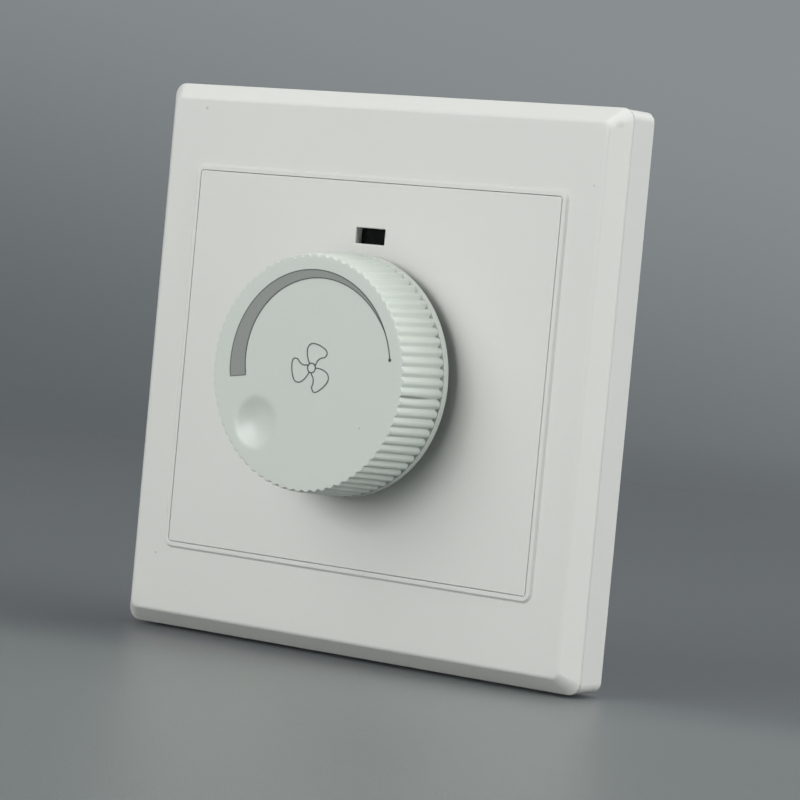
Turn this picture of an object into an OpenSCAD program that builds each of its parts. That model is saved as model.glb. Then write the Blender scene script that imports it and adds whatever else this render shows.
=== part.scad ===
// Wall-mounted rotary speed control for a ceiling fan, on a square 86 mm plate.
// X runs to the right, Y into the wall and Z up. The origin is the middle of the plate on the wall,
// on the knob's axis. A depth is measured from the wall towards the room, so it is negative in the box.

/* [Cover] */
// Width and height of the square cover
plate_w = 86; // [84.5:0.5:88]
// Corner radius of the cover where it meets the frame
plate_r = 3; // [2.9:0.1:4]
// Height of the straight edge below the bevel
edge_h = 0.5; // [0.4:0.1:1]
// Height of the bevel round the cover
bevel_h = 2.5; // [2.3:0.1:3]
// Width of the bevel round the cover
bevel_w = 2.6; // [2:0.1:2.7]
// Rounding of the bevel's two edges
edge_round = 0.35; // [0.2:0.05:0.45]
// Wall of the cover
cover_t = 1.5; // [1.3:0.1:1.8]
// Width of the raised strip round the centre panel
lip_w = 1.1; // [0.8:0.1:1.6]
// Height of the raised strip above the cover's face
lip_h = 0.35; // [0.2:0.05:0.5]
// Corner radius of the raised strip's outer edge
lip_r = 1.8; // [1:0.1:3]
// Distance of the cover's snap hooks from the middle, to each side
cover_hook_x = 22; // [19.5:0.5:25]

/* [Centre panel] */
// Width of the centre panel
panel_w = 67.9; // [67.5:0.1:69]
// Height of the centre panel
panel_h = 58.7; // [57.5:0.1:60]
// Thickness of the centre panel
panel_t = 1.5; // [1.3:0.1:1.7]
// Corner radius of the centre panel
panel_r = 0.5; // [0.3:0.1:1]
// Gap all round the centre panel
panel_gap = 0.15; // [0.1:0.05:0.25]
// Wall of the panel's skirt
skirt_t = 1.2; // [1:0.1:1.3]
// Width of the indicator window
window_w = 5.4; // [4.5:0.1:6]
// Height of the indicator window
window_h = 2.4; // [2:0.1:3]
// Height of the indicator window above the knob's axis
window_z = 21.2; // [20.8:0.1:21.6]
// Radius of the panel's hole round the nut
panel_hole_r = 6.4; // [6.2:0.1:8]
// Distance of the panel's snap hooks above and below the middle
panel_hook_z = 18; // [16:0.5:20]

/* [Mounting frame] */
// Height of the frame's front above the wall
frame_d = 5.7; // [5.5:0.1:6.5]
// Thickness of the frame's front
frame_t = 2.2; // [2:0.1:2.4]
// Wall of the frame's rim
rim_t = 1.6; // [1.2:0.1:1.8]
// How far the frame's rim lies inside the cover's edge
rim_inset = 0.15; // [0.1:0.05:0.5]
// Corner radius of the frame's rim
rim_r = 1.6; // [1.6:0.1:2.6]
// Gap of the visible seam between cover and frame
seam_gap = 0.15; // [0.1:0.05:0.2]
// Distance between the two wall screws
screw_pitch = 60.3; // [60:0.1:60.6]
// Width of the slots for the wall screws
slot_w = 4.4; // [4:0.1:4.6]
// Length of the slots, end to end
slot_len = 6.6; // [6:0.1:7]
// Thickness of the pad that a wall screw clamps
pad_t = 2.5; // [2:0.1:2.8]
// Radius of the sunk well for a wall screw's head
well_r = 4.6; // [4.4:0.1:4.7]
// Thickness of the ribs behind the frame
rib_t = 1.2; // [1:0.1:1.6]
// How far the ribs stay in front of the wall
rib_back = 0.6; // [0.4:0.1:1]

/* [Rear housing] */
// Width of the housing
box_w = 47; // [46.6:0.1:47.4]
// Height of the housing
box_h = 55; // [54.5:0.1:56]
// Depth of the housing behind the wall plane
box_d = 28; // [27.6:0.1:30]
// Wall of the housing
box_t = 1.5; // [1.3:0.1:1.6]
// Corner radius of the housing
box_r = 2.5; // [1.8:0.1:3]
// Thickness of the housing's screw ears
ear_t = 2.4; // [2:0.1:3]
// Radius of the housing's screw ears
ear_r = 3.4; // [3.2:0.1:3.8]
// Distance of the ears from the middle, to each side
ear_x = 14; // [12:0.5:16]
// Width of a ventilation slot
vent_w = 1.6; // [1.2:0.1:2]
// Number of ventilation slots in the rear wall
vent_n = 7; // [3:1:8]

/* [Circuit board] */
// Thickness of the circuit board
board_t = 1.6; // [1.2:0.1:1.8]
// Gap between the board and the housing's walls
board_gap = 0.2; // [0.1:0.05:0.3]
// Side of the housing's corner posts under the board
post_w = 5; // [4.6:0.1:5.4]

/* [Potentiometer] */
// Radius of the potentiometer's case
pot_r = 8.4; // [8:0.1:8.8]
// Depth of the resistor chamber
pot_h = 5.8; // [5.6:0.1:6.2]
// Depth of the switch chamber behind it
switch_h = 6; // [5:0.1:6.2]
// Radius of the threaded bushing
bush_r = 3.5; // [3.45:0.05:3.8]
// Length of the bushing in front of the frame
bush_len = 3.3; // [3.2:0.1:3.5]
// Radius of the shaft
shaft_r = 3; // [2.8:0.05:3]
// Radial clearance of the shaft in its bushing
shaft_gap = 0.05; // [0.02:0.01:0.09]
// Distance from the shaft's axis to its flat
flat_x = 1.5; // [1.2:0.1:2]
// Width of the nut across its flats
nut_af = 10; // [9:0.1:10.3]
// Thickness of the nut
nut_h = 2; // [1.6:0.1:2.2]
// Thickness of the washer
washer_t = 0.5; // [0.3:0.1:0.6]

/* [Knob] */
// Radius of the smooth ring at the knob's rear
knob_r = 18.5; // [18:0.1:20]
// Radius over the ridges at the ring
ridge_r = 18.1; // [17.6:0.1:18.4]
// Radius over the ridges at the face
face_r = 17.8; // [17.2:0.1:18]
// Height of the knob
knob_h = 10.5; // [9.5:0.1:12]
// Gap between the knob and the centre panel
knob_gap = 2.25; // [2:0.05:3]
// Height of the smooth ring
ring_h = 1.3; // [1:0.1:2]
// Number of ridges
ridge_n = 72; // [48:1:84]
// Depth of the grooves between the ridges
ridge_h = 0.4; // [0.3:0.05:0.6]
// Thickness of the knob's face
face_t = 2.2; // [2:0.1:2.6]
// Radius of the knob's hollow
hollow_r = 16.2; // [15:0.1:16.3]
// Radius of the knob's hub
hub_r = 4.6; // [4.4:0.1:5]
// Clearance of the shaft in the hub
hub_gap = 0.03; // [0.02:0.01:0.05]
// Radius of the finger dimple
dimple_r = 3.7; // [3:0.1:4.2]
// Depth of the finger dimple
dimple_h = 1.1; // [0.6:0.1:1.3]
// Distance of the dimple from the knob's axis
dimple_at = 12; // [11:0.1:13]
// Direction of the dimple in the off position, anticlockwise from the right
dimple_a = 223; // [210:1:240]

/* [Printing on the knob] */
// Thickness of the ink
ink_t = 0.05; // [0.03:0.01:0.1]
// Line width of the printing
line_w = 0.18; // [0.15:0.01:0.3]
// Outer radius of the tapering scale
scale_r = 14.8; // [14:0.1:15.5]
// Width of the scale at its thick end
scale_w = 2.8; // [2:0.1:3.5]
// Direction of the scale's thick end
scale_a0 = 189; // [180:1:200]
// Direction in which the scale has tapered to a line
scale_a1 = 35; // [20:1:45]
// Direction of the line's end
scale_a2 = 10.5; // [0:0.5:12]
// Reach of the fan symbol's blades from its middle
symbol_reach = 3.75; // [3:0.05:4.3]
// Radius of the fan symbol's hub
symbol_r = 0.75; // [0.5:0.05:1]
// Shift of the fan symbol to the right of the scale's middle
symbol_x = 0.5; // [-0.5:0.05:0.8]
// Shift of the fan symbol above the scale's middle
symbol_z = 0.25; // [-0.5:0.05:0.8]
// Shift of the printing to the right
print_x = 0.35; // [0:0.05:0.6]
// Shift of the printing upwards
print_z = 0.55; // [0:0.05:0.8]

/* [Circuit parts] */
// Width of the triac
triac_w = 10; // [9.5:0.1:10.4]
// Thickness of the triac's metal tab
tab_t = 1.3; // [1:0.1:1.4]
// Thickness of the heat sink
sink_t = 1.4; // [1:0.1:1.6]
// Gap between the heat sink and the housing's rear wall
sink_gap = 2.4; // [1.8:0.1:2.8]
// Length of the heat sink
sink_l = 26; // [24:0.5:28]
// Length of the film capacitor
film_l = 17.5; // [15:0.5:18]
// Thickness of the film capacitor
film_t = 7.6; // [6:0.1:8]
// Gap between the film capacitor and the housing's rear wall
film_gap = 2.7; // [1.7:0.1:5.2]
// Outer radius of the choke's core
core_ro = 7.2; // [6.8:0.1:7.4]
// Inner radius of the choke's core
core_ri = 3.8; // [3.4:0.1:4]
// Height of the choke's core
core_h = 6; // [5:0.1:7]
// Thickness of the choke's wire
wire_t = 0.8; // [0.5:0.1:0.9]
// Number of turns on the choke
turn_n = 18; // [10:1:20]
// Length of a resistor's body
res_l = 6.2; // [5:0.1:6.6]
// Radius of a resistor's body
res_r = 1.15; // [0.9:0.05:1.3]

/* [Terminals] */
// Width of the terminal block
block_w = 22; // [21:0.1:23]
// Height of the terminal block
block_h = 12.5; // [12.2:0.1:13]
// Distance between the two terminals
pole_pitch = 11; // [10:0.1:11.4]
// Width of a brass clamp
clamp_w = 7; // [6.6:0.1:7.4]
// Height of a brass clamp
clamp_h = 8; // [7.6:0.1:8.2]
// Length of a brass clamp along its screw
clamp_l = 7; // [6.6:0.1:7.2]
// Radius of a wire entry
entry_r = 2; // [1.9:0.05:2.2]
// Radius of the wire hole through a clamp
wire_r = 1.7; // [1.5:0.05:1.8]

/* [Hidden] */
$fn = 64;
// Facets of the round children of a hull
hull_fn = 32;
// Overrun of a cut beyond the face that it opens
over = 1;
// Clearance between pieces that fit in one another
fit = 0.1;
// How far a rib, post or hook runs into the wall that carries it
bite = 0.2;

// Depths of the cover and panel
cover_d0 = frame_d + seam_gap;
cover_d = cover_d0 + edge_h + bevel_h;
panel_d = cover_d + lip_h;
panel_back_d = panel_d - panel_t;
cover_back_d = cover_d - cover_t;
web_d = frame_d - frame_t;
plate_half = plate_w / 2;
rim_half = plate_half - rim_inset;
rim_in = rim_half - rim_t;
rib_z = 11.4;
rib_x = 6;
open_w = panel_w + 2 * panel_gap;
open_h = panel_h + 2 * panel_gap;
open_r = panel_r + panel_gap;
inner_drop = 0.3;

// Snap hooks
hook_w = 7;
hook_t = 1.3;
hook_barb = 0.5;
hook_barb_h = 1.2;
hook_room = 0.4;
hook_rim_gap = 0.9;
cover_hook_out = rim_in - hook_rim_gap - hook_barb;
panel_hook_out = panel_w / 2 - skirt_t - hook_barb;

// Housing, board and their fastenings
box_in_w = box_w - 2 * box_t;
box_in_h = box_h - 2 * box_t;
tongue_t = 1;
tongue_d = 1.2;
ear_root = 0.4;
ear_z = box_h / 2 + ear_r - ear_root;
boss_step = 0.2;
boss_r = ear_r - boss_step;
tap_r = 1.1;
tap_shaft_r = 1.05;
tap_len = 3;
tap_bottom = 0.6;
ear_hole_r = 1.4;
vent_len = 14;
pan_r = 2.3;
pan_h = 1.6;
driver_w = 0.6;
driver_h = 0.8;
driver_share = 0.6;
switch_pot_gap = 0.2;
board_screw_len = 6;

// Potentiometer, from its seat behind the frame back to the board
flange_t = 1.2;
pot_front_d = web_d;
chamber_d = pot_front_d - flange_t;
pot_back_d = chamber_d - pot_h;
can_t = 0.5;
track_t = 1.2;
track_front_d = pot_back_d + track_t;
switch_back_d = pot_back_d - switch_h;
board_front_d = switch_back_d - switch_pot_gap;
board_back_d = board_front_d - board_t;
bush_d = frame_d + bush_len;
thread_gap = 0.03;
nut_edge = 0.1;
neck_step = 0.9;
neck_r = shaft_r - neck_step;
neck_gap = 0.4;
neck_d = chamber_d - neck_gap;
rotor_t = 2;
rotor_gap = 1.4;
rotor_r = pot_r - can_t - rotor_gap;
rotor_d1 = neck_d - fit;
rotor_d0 = rotor_d1 - rotor_t;
brush_w = 1.5;
brush_in = rotor_r - brush_w;
brush_gap = 0.25;
brush_a = 40;
brush_a0 = 250;
switch_step = 0.2;
ring_open = 0.6;
shaft_back_d = rotor_d0;
ring_groove = 0.4;
ring_t = 0.6;
ring_gap = 0.1;
ring_w = 1.1;
ring_out_r = shaft_r + ring_w;
pot_tab_w = 12;
pot_tab_out = 2.6;
pot_tab_z = pot_r + pot_tab_out;
pot_pin_step = 0.2;
pot_pin_z = pot_tab_z + pot_pin_step;
pin_w = 1;
pin_t = 0.4;
pin_pitch = 5;
pin_out = 1.2;
pin_gap = 0.2;
lug_pitch = 8;
lug_z = 5;

// Knob
knob_d0 = panel_d + knob_gap;
knob_d = knob_d0 + knob_h;
knob_ceil_d = knob_d - face_t;
hub_gap_d = 0.6;
hub_d0 = bush_d + ring_gap + ring_t + hub_gap_d;
shaft_end_gap = 0.3;
shaft_d = knob_ceil_d - shaft_end_gap;
flat_run = 0.3;
flat_d0 = hub_d0 - flat_run;
hub_slit = 0.8;
hub_slit_d = 3;
grip_inset = 0.5;
grip_d0 = hub_d0 + grip_inset;
grip_w = 1.2;
grip_t = 0.6;
grip_gap = 0.02;
knob_rib_gap = 0.3;
knob_rib_d0 = grip_d0 + grip_w + knob_rib_gap;
dimple_ball = (dimple_r * dimple_r + dimple_h * dimple_h) / (2 * dimple_h);
scale_steps = 48;
tail_lap = 3;
dot_r = 0.3;
// Share of a ridge's pitch that one flank takes, and by which the first groove stands off the right
ridge_rise = 0.36;
ridge_turn = 0.68;
// Rounded corners of a blade and the circle that hollows its trailing edge, as shares of its reach
blade_tip = [0.035, 0.693];
blade_tip_r = 0.307;
blade_heel = [0.659, 0.635];
blade_heel_r = 0.12;
blade_scoop = [0.642, 0.02];
blade_scoop_r = 0.45;
ring_edge = 0.2;

// Indicator
lens_t = 0.75;
lens_margin = 1;
lamp_r = 1.5;
lamp_flange_r = 1.8;
lamp_flange_t = 0.4;
lamp_gap = 0.15;
lamp_front_d = panel_back_d - lens_t - lamp_gap;
lamp_flange_d = web_d - fit;
lamp_lead_w = 0.5;
lamp_lead_x = 1.27;

// Triac on its heat sink
room_h = box_d - box_t + board_back_d;
sink_h = room_h - sink_gap;
sink_in = 3.4;
sink_edge = 0.5;
sink_x = -box_in_w / 2 + sink_in;
sink_back_d = board_back_d - sink_h;
sink_z0 = -13;
foot_t = sink_t;
tab_x = sink_x + sink_t;
triac_lift = 1.6;
triac_d = board_back_d - triac_lift - triac_w / 2;
tab_l = 6.6;
triac_l = 9;
triac_z0 = -6;
triac_t = 4.4;
leg_pitch = 2.54;
leg_w = 0.7;
leg_t = 0.5;
leg_x = 2.4;
leg_drop = 3;
leg_step = 1.4;
tab_hole_up = 3;
triac_hole_z = triac_z0 + triac_l + tab_hole_up;
m3_r = 1.5;
m3_hole_r = 1.6;
m3_head_r = 2.8;
m3_head_h = 2;
m3_nut_af = 5.5;
m3_nut_h = 2.4;

// Other circuit parts
film_h = room_h - film_gap;
film_x = -4;
film_lamp_gap = 2;
film_z = window_z - film_lamp_gap - film_t / 2;
timing_x = -5;
timing_z = 9.4;
timing_l = 7.2;
timing_t = 2.6;
timing_h = 7.5;
timing_r = 0.6;
film_r = 1;
choke_side = 1.2;
choke_x = box_in_w / 2 - core_ro - wire_t - choke_side;
choke_z = 4.5;
winding_gap = 0.05;
choke_back_d = board_back_d - wire_t - winding_gap;
turn_span = 320;
turn_a0 = 20;
lead_r = 0.3;
res_x = -6;
res_z = [-8.4, -5.2, -2];
res_n = 3;
res_lead_x = 5;
res_lift = 0.5;
diac_z = 2.2;
diac_l = 4;
diac_r = 0.95;

// Terminals
block_z0 = -box_h / 2;
block_front_d = board_back_d;
block_gap = 0.15;
entry_len = 3;
clamp_gap = 0.1;
clamp_sink = 2.2;
clamp_back_d = -box_d + clamp_sink;
clamp_front_d = clamp_back_d + clamp_l;
wire_edge = 0.8;
pin_root = 0.5;
clamp_z = block_z0 + entry_len + clamp_gap + clamp_h / 2;
wire_d = clamp_front_d - wire_edge - wire_r;
term_r = 1.75;
term_head_r = 2.8;
term_head_h = 1.5;
term_lift = 0.2;
term_tip_gap = 0.2;
clamp_pin_w = 1.2;
clamp_pin_out = 1;

// Colours
white_c = "#D9DAD5";
knob_c = "#CFD9D0";
ink_c = "#7E8480";
line_c = "#4A504B";
steel_c = "#B8BABD";
brass_c = "#C9A24A";
board_c = "#B98B4E";
black_c = "#222426";

// Extrudes a flat outline, drawn in X and Z, from one depth to another
module slab(d0, d1) {
    translate([0, -d0, 0]) rotate([90, 0, 0]) linear_extrude(height = d1 - d0) children();
}

// A round rod or hole along Y, from one depth to another
module rod(d0, d1, r) {
    translate([0, -d0, 0]) rotate([90, 0, 0]) cylinder(h = d1 - d0, r = r);
}

// Turns a profile of radius and depth about the Y axis
module turned() {
    rotate([90, 0, 0]) rotate_extrude() children();
}

// Rectangle centred on the axes with round corners
module round_rect(w, h, r) {
    square([w - 2 * r, h], center = true);
    square([w, h - 2 * r], center = true);
    for (x = [-1, 1], z = [-1, 1])
        translate([x * (w / 2 - r), z * (h / 2 - r)]) circle(r = r, $fn = hull_fn);
}

// Copies children to both sides and to top and bottom
module four_ways(x, z) {
    for (sx = [-1, 1], sz = [-1, 1]) translate([sx * x, 0, sz * z]) children();
}

// Box between two X, two depths and two Z values
module block(x0, x1, d0, d1, z0, z1) {
    translate([x0, -d1, z0]) cube([x1 - x0, d1 - d0, z1 - z0]);
}

// Pan head screw along Y: its head rests on depth d and its shaft points to the room
module pan_screw(d, len, shaft, head, height) {
    difference() {
        union() {
            rod(d, d + len, shaft);
            rod(d - height, d, head);
        }
        cross_recess(d - height, head);
    }
}

// Cross recess in a screw's head whose outer face lies at depth d
module cross_recess(d, head) {
    for (a = [0, 90]) rotate([0, a, 0])
        block(-head * driver_share, head * driver_share, d - over, d + driver_h,
            -driver_w / 2, driver_w / 2);
}

// One corner of the cover as a turned button, with the bevel as its profile
module cover_corner() {
    rotate([90, 0, 0]) rotate_extrude($fn = hull_fn) intersection() {
        square([plate_r, cover_d]);
        offset(r = edge_round, $fn = hull_fn) offset(delta = -edge_round) polygon([
            [-plate_r, 0],
            [plate_r, 0],
            [plate_r, cover_d0 + edge_h],
            [plate_r - bevel_w, cover_d],
            [-plate_r, cover_d]
        ]);
    }
}

// Outside of the cover, open at the seam
module cover_outside() {
    difference() {
        hull() four_ways(plate_half - plate_r, plate_half - plate_r) cover_corner();
        slab(-over, cover_d0) square(plate_w + 2 * over, center = true);
    }
}

// Hollow behind the cover's face and bevel
module cover_inside() {
    low = plate_half - cover_t;
    top = low - bevel_w;
    r = plate_r - cover_t;
    hull() {
        slab(cover_d0 - over, cover_d0 + edge_h - inner_drop) round_rect(2 * low, 2 * low, r);
        slab(cover_back_d - fit, cover_back_d) round_rect(2 * top, 2 * top, r);
    }
}

// Hook that reaches back through the frame. It stands on +Z and bends outwards behind the frame.
module snap_hook(out, top_d) {
    tip_d = web_d - fit;
    block(-hook_w / 2, hook_w / 2, tip_d - hook_barb_h, top_d, out - hook_t, out);
    translate([-hook_w / 2, 0, 0]) rotate([90, 0, 90]) linear_extrude(height = hook_w)
        polygon([
            [-tip_d, out],
            [-tip_d, out + hook_barb],
            [-tip_d + hook_barb_h, out],
        ]);
}

// Window in the frame that a snap hook passes, standing on +Z
module hook_window(out) {
    block(-hook_w / 2 - hook_room, hook_w / 2 + hook_room, web_d - over, frame_d + over,
        out - hook_t - hook_room, out + hook_barb + hook_room / 2);
}

module at_cover_hooks() {
    for (a = [0, 180], x = [-cover_hook_x, cover_hook_x]) rotate([0, a, 0])
        translate([x, 0, 0]) children();
}

module at_panel_hooks() {
    for (a = [90, 270], z = [-panel_hook_z, panel_hook_z]) rotate([0, a, 0])
        translate([z, 0, 0]) children();
}

module front_cover() {
    color(white_c) {
        difference() {
            union() {
                difference() {
                    cover_outside();
                    cover_inside();
                }
                slab(cover_back_d, cover_d + lip_h)
                    round_rect(open_w + 2 * lip_w, open_h + 2 * lip_w, lip_r);
                slab(frame_d, cover_d)
                    round_rect(open_w + 2 * skirt_t, open_h + 2 * skirt_t, open_r + skirt_t);
            }
            slab(frame_d - over, cover_d + over) round_rect(open_w, open_h, open_r);
        }
        at_cover_hooks() snap_hook(cover_hook_out, cover_back_d + bite);
    }
}

module centre_panel() {
    color(white_c) {
        difference() {
            union() {
                slab(panel_back_d, panel_d) round_rect(panel_w, panel_h, panel_r);
                difference() {
                    slab(frame_d, panel_back_d) round_rect(panel_w, panel_h, panel_r);
                    slab(frame_d - over, panel_back_d)
                        square([panel_w - 2 * skirt_t, panel_h - 2 * skirt_t], center = true);
                }
                lens_cradle();
            }
            rod(frame_d, panel_d + over, panel_hole_r);
            block(-window_w / 2, window_w / 2, panel_back_d - over, panel_d + over,
                window_z - window_h / 2, window_z + window_h / 2);
        }
        at_panel_hooks() snap_hook(panel_hook_out, panel_back_d + bite);
    }
}

// Two ribs behind the panel that hold the lens between them
module lens_cradle() {
    half = window_h / 2 + lens_margin + fit;
    for (s = [0, 1]) translate([0, 0, window_z]) mirror([0, 0, s])
        block(-window_w / 2 - lens_margin, window_w / 2 + lens_margin,
            panel_back_d - lens_t, panel_back_d, half, half + rib_t / 2);
}

module indicator_lens() {
    w = window_w / 2 + lens_margin;
    h = window_h / 2 + lens_margin;
    color(black_c)
        block(-w, w, panel_back_d - lens_t, panel_back_d, window_z - h, window_z + h);
}

// Flat outline of a slot for a wall screw, grown by an extra radius
module screw_slot(r) {
    run = (slot_len - slot_w) / 2;
    square([2 * run, 2 * r], center = true);
    for (s = [-1, 1]) translate([s * run, 0]) circle(r = r);
}

module mounting_frame() {
    pad_w = slot_len - slot_w + 2 * well_r + 2 * rim_t;
    color(white_c) difference() {
        union() {
            slab(web_d, frame_d) round_rect(2 * rim_half, 2 * rim_half, rim_r);
            difference() {
                slab(0, web_d) round_rect(2 * rim_half, 2 * rim_half, rim_r);
                slab(-over, web_d) square(2 * rim_in, center = true);
            }
            housing_collar();
            frame_ribs();
            for (s = [-1, 1]) translate([s * screw_pitch / 2, 0, 0])
                slab(0, web_d) square([pad_w, 2 * well_r + 2 * rim_t], center = true);
            four_ways(ear_x, ear_z) rod(0, web_d, boss_r);
        }
        for (s = [-1, 1]) translate([s * screw_pitch / 2, 0, 0]) {
            slab(pad_t, frame_d + over) screw_slot(well_r);
            slab(-over, pad_t + over) screw_slot(slot_w / 2);
        }
        slab(-tongue_d - over, web_d)
            square([box_in_w - 2 * tongue_t, box_in_h - 2 * tongue_t], center = true);
        four_ways(ear_x, ear_z) rod(-over, tap_len + tap_bottom, tap_r);
        rod(0, frame_d + over, bush_r + fit);
        translate([0, 0, window_z]) rod(0, frame_d + over, lamp_r + fit);
        at_cover_hooks() hook_window(cover_hook_out);
        at_panel_hooks() hook_window(panel_hook_out);
    }
}

// Wall that carries the housing, and the tongue that centres it
module housing_collar() {
    slab(0, web_d) round_rect(box_w, box_h, box_r);
    slab(-tongue_d, web_d) square([box_in_w - 2 * fit, box_in_h - 2 * fit], center = true);
}

// Ribs from the collar out to the rim
module frame_ribs() {
    for (s = [-1, 1], side = [0, 180]) rotate([0, side, 0]) {
        block(box_w / 2 - bite, rim_in + bite, rib_back, web_d + bite,
            s * rib_z - rib_t / 2, s * rib_z + rib_t / 2);
        block(s * rib_x - rib_t / 2, s * rib_x + rib_t / 2, rib_back, web_d + bite,
            box_h / 2 - bite, rim_in + bite);
    }
}

module rear_housing() {
    post_x = box_in_w / 2 - post_w / 2;
    post_z = box_in_h / 2 - post_w / 2;
    color("#C9CBC7") difference() {
        union() {
            difference() {
                slab(-box_d, 0) round_rect(box_w, box_h, box_r);
                slab(-box_d + box_t, over) square([box_in_w, box_in_h], center = true);
            }
            four_ways(post_x, post_z)
                slab(-box_d + box_t / 2, board_back_d) square(post_w + 2 * bite, center = true);
            four_ways(ear_x, 0) housing_ear();
        }
        four_ways(ear_x, ear_z) rod(-ear_t - over, over, ear_hole_r);
        block(-block_w / 2 - block_gap, block_w / 2 + block_gap, -box_d - over,
            board_back_d, block_z0 - over, block_z0 + block_h + block_gap);
        housing_vents();
        for (s = [-1, 1]) translate([s * post_x, 0, -s * post_z])
            rod(board_back_d - board_screw_len, board_back_d + over, tap_r);
    }
}

// Ear on the upper edge of the housing; mirrored copies make the others
module housing_ear() {
    for (s = [0, 1]) mirror([0, 0, s]) {
        translate([0, 0, ear_z]) rod(-ear_t, 0, ear_r);
        block(-ear_r, ear_r, -ear_t, 0, box_h / 2 - box_t / 2, ear_z);
    }
}

// Ventilation slots in the rear wall
module housing_vents() {
    pitch = 2 * vent_w;
    for (i = [0 : vent_n - 1]) {
        x = (i - (vent_n - 1) / 2) * pitch;
        translate([x, 0, box_h / 6]) slab(-box_d - over, -box_d + box_t + over)
            square([vent_w, vent_len], center = true);
    }
}

module circuit_board() {
    w = box_in_w - 2 * board_gap;
    h = box_in_h - 2 * board_gap;
    post_x = box_in_w / 2 - post_w / 2;
    post_z = box_in_h / 2 - post_w / 2;
    color(board_c) difference() {
        slab(board_back_d, board_front_d) square([w, h], center = true);
        for (s = [-1, 1]) translate([s * post_x, 0, -s * post_z])
            rod(board_back_d - over, board_front_d + over, ear_hole_r);
        for (i = [-1, 0, 1]) board_hole(i * pin_pitch, -pot_pin_z, pin_w);
        for (s = [-1, 1]) {
            board_hole(s * lug_pitch / 2, lug_z, pin_w);
            board_hole(s * lamp_lead_x, window_z, lamp_lead_w);
            board_hole(s * pole_pitch / 2, clamp_z, clamp_pin_w);
        }
    }
}

// Square hole through the board round a pin of a given width
module board_hole(x, z, w) {
    half = w / 2 + pin_gap;
    block(x - half, x + half, board_back_d - over, board_front_d + over, z - half, z + half);
}

module housing_screws() {
    color(steel_c) four_ways(ear_x, ear_z)
        pan_screw(-ear_t, ear_t + tap_len, tap_shaft_r, pan_r, pan_h);
}

module board_screws() {
    post_x = box_in_w / 2 - post_w / 2;
    post_z = box_in_h / 2 - post_w / 2;
    color(steel_c) for (s = [-1, 1]) translate([s * post_x, 0, -s * post_z])
        translate([0, -2 * board_front_d, 0]) mirror([0, 1, 0])
            pan_screw(board_front_d, board_t + board_screw_len - tap_bottom,
                tap_shaft_r, pan_r, pan_h);
}

module pot_bushing() {
    color(steel_c) difference() {
        union() {
            rod(chamber_d, pot_front_d, pot_r);
            rod(chamber_d, bush_d, bush_r);
        }
        rod(chamber_d - over, bush_d + over, shaft_r + shaft_gap);
    }
}

module pot_washer() {
    color(steel_c) difference() {
        rod(frame_d, frame_d + washer_t, nut_af / 2);
        rod(frame_d - over, frame_d + washer_t + over, bush_r + fit);
    }
}

module pot_nut() {
    d0 = frame_d + washer_t;
    color(steel_c) difference() {
        intersection() {
            slab(d0, d0 + nut_h) circle(r = nut_af / sqrt(3), $fn = 6);
            nut_chamfer(d0 + nut_h);
        }
        rod(d0 - over, d0 + nut_h + over, bush_r + thread_gap);
    }
}

// Cone that breaks the outer corners of the nut's front face
module nut_chamfer(d) {
    r = nut_af / 2 - nut_edge;
    turned() polygon([[0, 0], [r + d, 0], [r, d], [0, d]]);
}

module pot_can() {
    color(steel_c) difference() {
        rod(pot_back_d, chamber_d, pot_r);
        rod(pot_back_d - over, chamber_d + over, pot_r - can_t);
        block(-pot_tab_w / 2 - fit, pot_tab_w / 2 + fit, pot_back_d - over,
            track_front_d + fit, -pot_tab_z, 0);
    }
}

module pot_track() {
    color("#8A5A2B") difference() {
        union() {
            rod(pot_back_d, track_front_d, pot_r - can_t - fit);
            block(-pot_tab_w / 2, pot_tab_w / 2, pot_back_d, track_front_d, -pot_tab_z, 0);
        }
        rod(pot_back_d - over, track_front_d + over, neck_r);
    }
}

module pot_pins() {
    color(brass_c) {
        for (i = [-1, 0, 1]) translate([i * pin_pitch, 0, 0]) {
            block(-pin_w / 2, pin_w / 2, pot_back_d - pin_t, pot_back_d,
                -pot_pin_z - pin_t / 2, -pot_r - pin_gap);
            block(-pin_w / 2, pin_w / 2, board_back_d - pin_out, pot_back_d,
                -pot_pin_z - pin_t / 2, -pot_pin_z + pin_t / 2);
        }
        for (s = [-1, 1]) block(s * lug_pitch / 2 - pin_w / 2, s * lug_pitch / 2 + pin_w / 2,
            board_back_d - pin_out, switch_back_d, lug_z - pin_t / 2, lug_z + pin_t / 2);
    }
}

module switch_can() {
    color(black_c) rod(switch_back_d, pot_back_d, pot_r - switch_step);
}

module pot_shaft() {
    color("#E4E4DE") difference() {
        union() {
            rod(neck_d, shaft_d, shaft_r);
            rod(shaft_back_d, neck_d, neck_r);
        }
        block(flat_x, shaft_r + over, flat_d0, shaft_d + over, -shaft_r - over, shaft_r + over);
        difference() {
            rod(bush_d + ring_gap, bush_d + ring_gap + ring_t, shaft_r + over);
            rod(bush_d, bush_d + ring_t + over, shaft_r - ring_groove);
        }
    }
}

// Open spring ring in the shaft's groove, in front of the bushing
module retaining_ring() {
    d0 = bush_d + ring_gap;
    color(steel_c) difference() {
        rod(d0, d0 + ring_t, ring_out_r);
        rod(d0 - over, d0 + ring_t + over, shaft_r - ring_groove);
        block(-shaft_r * ring_open, shaft_r * ring_open, d0 - over, d0 + ring_t + over,
            -ring_out_r - over, 0);
    }
}

module wiper_rotor() {
    color("#B5A642") difference() {
        rod(rotor_d0, rotor_d1, rotor_r);
        rod(rotor_d0 - over, rotor_d1 + over, neck_r);
    }
}

// Sprung contact that rides on the carbon track
module wiper_contact() {
    d0 = track_front_d + brush_gap;
    color(brass_c) rotate([90, 0, 0]) rotate([0, 0, brush_a0]) translate([0, 0, d0])
        rotate_extrude(angle = brush_a) translate([brush_in, 0])
            square([rotor_r - brush_in, rotor_d0 - d0]);
}

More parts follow.
